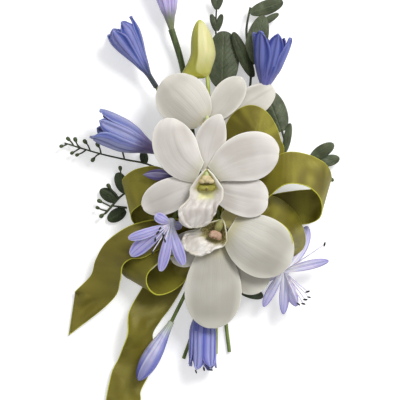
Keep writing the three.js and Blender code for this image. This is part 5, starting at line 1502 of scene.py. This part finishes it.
# Each lobe as shares of the column: its side, way along and height, its half sizes, and its finish.
# The last lobe is that dark patch in the saddle's dimple: painted shade.
OPEN_CENTRE = [
    (0.0, -0.3, -0.02, 0.2, 0.28, 0.36, 0), (0.0, -0.14, 0.14, 0.36, 0.2, 0.34, 1),
    (0.27, -0.04, 0.1, 0.3, 0.13, 0.32, 1), (0.14, 0.06, 0.37, 0.05, 0.03, 0.06, 3),
    (0.0, 0.29, 0.05, 0.3, 0.13, 0.26, 2), (0.32, 0.29, 0.05, 0.32, 0.15, 0.3, 2),
    (0.0, 0.34, 0.27, 0.09, 0.08, 0.06, 3),
]
SIDE_CENTRE = [
    (0.0, -0.1, 0.1, 0.3, 0.36, 0.3, 2), (0.0, 0.34, 0.22, 0.48, 0.22, 0.3, 1),
    (0.26, 0.42, 0.2, 0.24, 0.14, 0.3, 1), (0.12, 0.5, 0.45, 0.05, 0.03, 0.06, 3),
]
PETAL_RELIEF = dict(waver=0.45, groove=0.25, lifted=0.3)

for bloom, forms, petal_skin, lip_skin, lobes, centre_skins in (
        ("front_bloom", FRONT_BLOOM, front_petal, front_lip, OPEN_CENTRE, open_skins),
        ("lower_bloom", LOWER_BLOOM, lower_petal, lower_lip, SIDE_CENTRE, side_skins),
        ("back_bloom", BACK_BLOOM, back_petal, None, OPEN_CENTRE, open_skins)):
    for part, form in forms.items():
        name = f"{bloom}_{part}"
        if part == "column":
            bloom_centre(form, lobes).piece(name, centre_skins)
            continue
        if part == "lip":
            shape, skin = lip(form), lip_skin
        else:
            shape = blade(form | PETAL_RELIEF, PETAL_THICKNESS, 48, 26, bead=0.06)
            skin = shaded_petal if name == "lower_bloom_dorsal_sepal" else petal_skin
        placed(shape, form).piece(name, [skin])

# Buds

placed(orchid_bud(ORCHID_BUD), ORCHID_BUD).piece("orchid_bud", [bud_finish()])
BUD_FINISHES = {
    "lower_violet_bud": violet_finish(
        "lower_violet_bud", "b9c0a6", "cfcde6", "3f46a6", "5055ae", "e6e4f4", turns=(0.04, 0.3, 0.95),
        rib_width=0.0, streaks=4, blur=1.0, side="6d74cc", streak_mix=0.4),
    "small_violet_bud": violet_finish(
        "small_violet_bud", "5c5186", "8076ac", "62589a", "332b6c", "d2ccea", turns=(0.1, 0.4, 0.9),
        rib_width=0.0, blur=1.0, rim_mix=0.9),
}
for name, form in VIOLET_BUDS.items():
    placed(long_bud(form), form).piece(name, [BUD_FINISHES[name]])

# Florets

# The tones of each bell's foot, body, tip, rib and rim.
BELL_COLOURS = {
    "upper_left_bell": ("3a403a", "4f60a9", "374b99", "273782", "b6b6ee"),
    "top_bell": ("7d8555", "c2b4e4", "b09fdc", "8475be", "ddd5f2"),
    "left_bell": ("75668f", "797eb3", "6571b4", "313475", "bfc3e8"),
    "right_bell": ("6a6bb0", "3d4994", "324093", "212b6c", "8f97dc"),
    "bottom_bell": ("7f86d2", "6469c2", "6f72c4", "34388e", "cacef2"),
}
for name, form in BELLS.items():
    skin = violet_finish(name, *BELL_COLOURS[name], streak_mix=0.42, streaks=7, glow=0.45)
    bell(form, rng).piece(name, [skin])

tube_skin = soft_finish("floret_tube", "cfcfdc", "b3b4c6", 300)
left_tepal = violet_finish("left_floret_tepal", "d8d7e4", "aba7de", "918bd2", "685eb6", "e8e7f6",
                           turns=(0.1, 0.4, 0.9), rib_width=0.05)
right_tepal = violet_finish("right_floret_tepal", "f0eff6", "dedcf0", "bab6e2", "7f79c6", "8882c8",
                            turns=(0.15, 0.5, 0.95), rib_width=0.05, glow=0.0, rim_mix=0.6)
open_floret(LEFT_FLORET).piece("left_floret", [tube_skin, left_tepal])
open_floret(RIGHT_FLORET).piece("right_floret", [tube_skin, right_tepal])
thread_skin = soft_finish("stamen_thread", "e6e2f0", "cbc5e0", 500)
anther_skin = soft_finish("anther", "26222a", "141218", 900, roughness=0.65)
for name, form in (("left_floret_stamens", LEFT_FLORET), ("right_floret_stamens", RIGHT_FLORET),
                   ("bottom_bell_stamens", BOTTOM_STAMENS)):
    stamens(name, form, thread_skin, anther_skin, rng)

# Stems and twigs

green_stem = stem_finish("green_stem", "7d8f45", "57692c")
dark_stem = stem_finish("dark_stem", "5a6a35", "3c4a24")
wired_stem = stem_finish("taped_wire", "8a9a55", "66783a")
pale_stem = stem_finish("pale_stem", "c3cb6c", "a2ae4c")
cut_end = soft_finish("cut_end", "c9c79a", "a9a878", 700)
STEM_FINISHES = {"orchid_bud_stem": pale_stem, "top_bell_stem": dark_stem, "front_bloom_stem": wired_stem,
                 "back_bloom_stem": wired_stem, "lower_bloom_stem": wired_stem}
for name, (radius, column, row, above, below) in STEMS.items():
    route = smooth_route(into_flower(stem_route(column, row, above, below), above))
    narrowing = smoothstep(np.linspace(0, 1, len(route)), 0.0, 0.55)
    radii = blend(THICK_TOPS.get(name, radius), radius, narrowing)
    settle(bars(name, [(route, radii)], STEM_FINISHES.get(name, green_stem), cut_end), name)

grey_leaf = leaf_finish("grey_green_leaf", "646d52", "4b533b", "737b60", "7f8771")
dark_leaf = leaf_finish("dark_green_leaf", "59614a", "424a33", "666e52", "6b735b")
shaded_leaf = leaf_finish("shaded_leaf", "3b4426", "2a311a", "5a6440", "48502f")
sprig_leaf = leaf_finish("sprig_leaf", "3f4b2f", "2b351f", "5a6a3c", "4c5a3b")
twig_stalk = stem_finish("twig_stalk", "424b2e", "2e351f")
bud_grain = soft_finish("sprig_bud", "4b5a30", "333f1e", 600, specks="82905a")
TWIG_FINISHES = {"seed_twig": [dark_leaf], "top_eucalyptus": [grey_leaf, shaded_leaf],
                 "right_eucalyptus": [grey_leaf], "lower_leaf_twig": [dark_leaf],
                 "left_leafy_twig": [sprig_leaf]}
for name, form in TWIGS.items():
    twig(name, form, TWIG_FINISHES[name], twig_stalk, bud_grain, rng)

# The bow, its knot and the tape

# A satin is its light tone, the tone of its painted highlights and how metallic it is.
TAIL_SATIN = ("7b7424", "887f2b", 0.12)
LOOP_SATIN = ("8b8530", "aba43a", 0.3)
KNOT_SATIN = ("867f26", "a8a13a", 0.3)
KNOT_RIBS = 90.0 / FULL_TURN
for name in BANDS:
    sheet, length = ribbon_band(name)
    satin = TAIL_SATIN if "tail" in name else LOOP_SATIN
    piece = Skin().add(sheet).piece(name, [ribbon_finish(name, *satin, length / RIB_PITCH)])

low, high = node_box("bow_knot")
knot_skin = ribbon_finish("knot_ribbon", *KNOT_SATIN, KNOT_RIBS)
Skin().add(knot_pillow(), (low + high) / 2).piece("bow_knot", [knot_skin])
Skin().add(wound_tape(*node_box("bundle_tape"))).piece("bundle_tape", [tape_finish()])


# The pin


def pearl_head():
    """The pearl: a ball with a narrow neck at its far end, where the shaft enters."""
    low, high = node_box("pin_pearl")
    radius, neck_radius = (high[0] - low[0]) / 2, 0.9
    angle, along = ring_grid(40, 48, 0.0, 1.0)
    y = blend(low[1], high[1], along)
    ball = np.sqrt(np.maximum(radius**2 - (y - (low[1] + radius)) ** 2, 0))
    neck = neck_radius * smoothstep(along, 0.55, 0.6)
    out = np.maximum(ball, neck) * np.clip(along * 1e4, 0.001, 1)
    pearl = turned(out, y, angle, along)
    middle = (low + high) / 2 * [1, 0, 1]
    Skin().add(pearl, middle).piece("pin_pearl", [pearl_finish()], body="pin")


def pin_shaft():
    """The shaft: a round wire that ends in a point."""
    low, high = node_box("pin_shaft")
    radius, point_start, sides = 0.4, 0.92, 24
    along = np.concatenate([np.linspace(0, 0.9, 12), np.linspace(point_start, 1, 12)])[:, None]
    along = along * np.ones(sides)
    angle = -np.linspace(0, FULL_TURN, sides, endpoint=False) * np.ones_like(along)
    tapering = np.sqrt(np.maximum(1 - (along - point_start) / (1 - point_start), 0.004))
    out = radius * np.where(along > point_start, tapering, 1)
    shaft = turned(out, blend(low[1], high[1], along), angle, along)
    middle = (low + high) / 2 * [1, 0, 1]
    Skin().add(shaft, middle).piece("pin_shaft", [steel_finish()], body="pin")


pearl_head()
pin_shaft()


# The table and the light


TABLE_GLOW = 0.42
SKY_LIGHT = 0.42
# A lamp is its place, its size and its power.
LAMPS = {
    "key": ((0.42, 0.5, 0.75), 0.35, 7.5),
    "fill": ((-0.5, -0.3, 0.8), 0.8, 1.2),
}


def set_table():
    """A pale table with a glow that the eye and shiny finishes see and that lights nothing else."""
    bpy.ops.mesh.primitive_plane_add(size=6, location=(0, 0, -0.00005))
    table = bpy.context.object
    table.name = "table"
    f = Finish("table", {"Roughness": 0.9, "Specular IOR Level": 0.0})
    f.colour(f.patched("ededee", "e9e9ea", f.clouds(3.0, 2.0, 0.3, 0.7)))
    rays = f.add("ShaderNodeLightPath").outputs
    seen = f.maths("MAXIMUM", rays["Is Glossy Ray"], rays["Is Transmission Ray"])
    seen = f.maths("MAXIMUM", rays["Is Camera Ray"], seen)
    glow = f.out("ShaderNodeEmission", {"Color": (1, 1, 1, 1), "Strength": f.times(seen, TABLE_GLOW)})
    both = f.out("ShaderNodeAddShader", {0: f.shader.outputs[0], 1: glow})
    f.feed(f.tree.nodes["Material Output"], {"Surface": both})
    table.data.materials.append(f.material)


def set_light():
    """An even white sky, brighter to the eye than as a light, and two lamps that face the origin."""
    world = bpy.data.worlds.new("studio")
    bpy.context.scene.world = world
    world.use_nodes = True
    sky = Nodes(world.node_tree)
    to_eye = sky.add("ShaderNodeLightPath").outputs["Is Camera Ray"]
    strength = sky.out("ShaderNodeMix", {0: to_eye, 2: SKY_LIGHT, 3: 1.0})
    sky.feed(sky.tree.nodes["Background"], {"Strength": strength, "Color": (1, 1, 1, 1)})
    for name, (place, size, power) in LAMPS.items():
        lamp = in_scene(name, bpy.data.lights.new(name, "AREA"))
        lamp.data.size, lamp.data.energy = size, power
        lamp.location = place
        lamp.rotation_euler = (-Vector(place)).to_track_quat("-Z", "Y").to_euler()


set_table()
set_light()
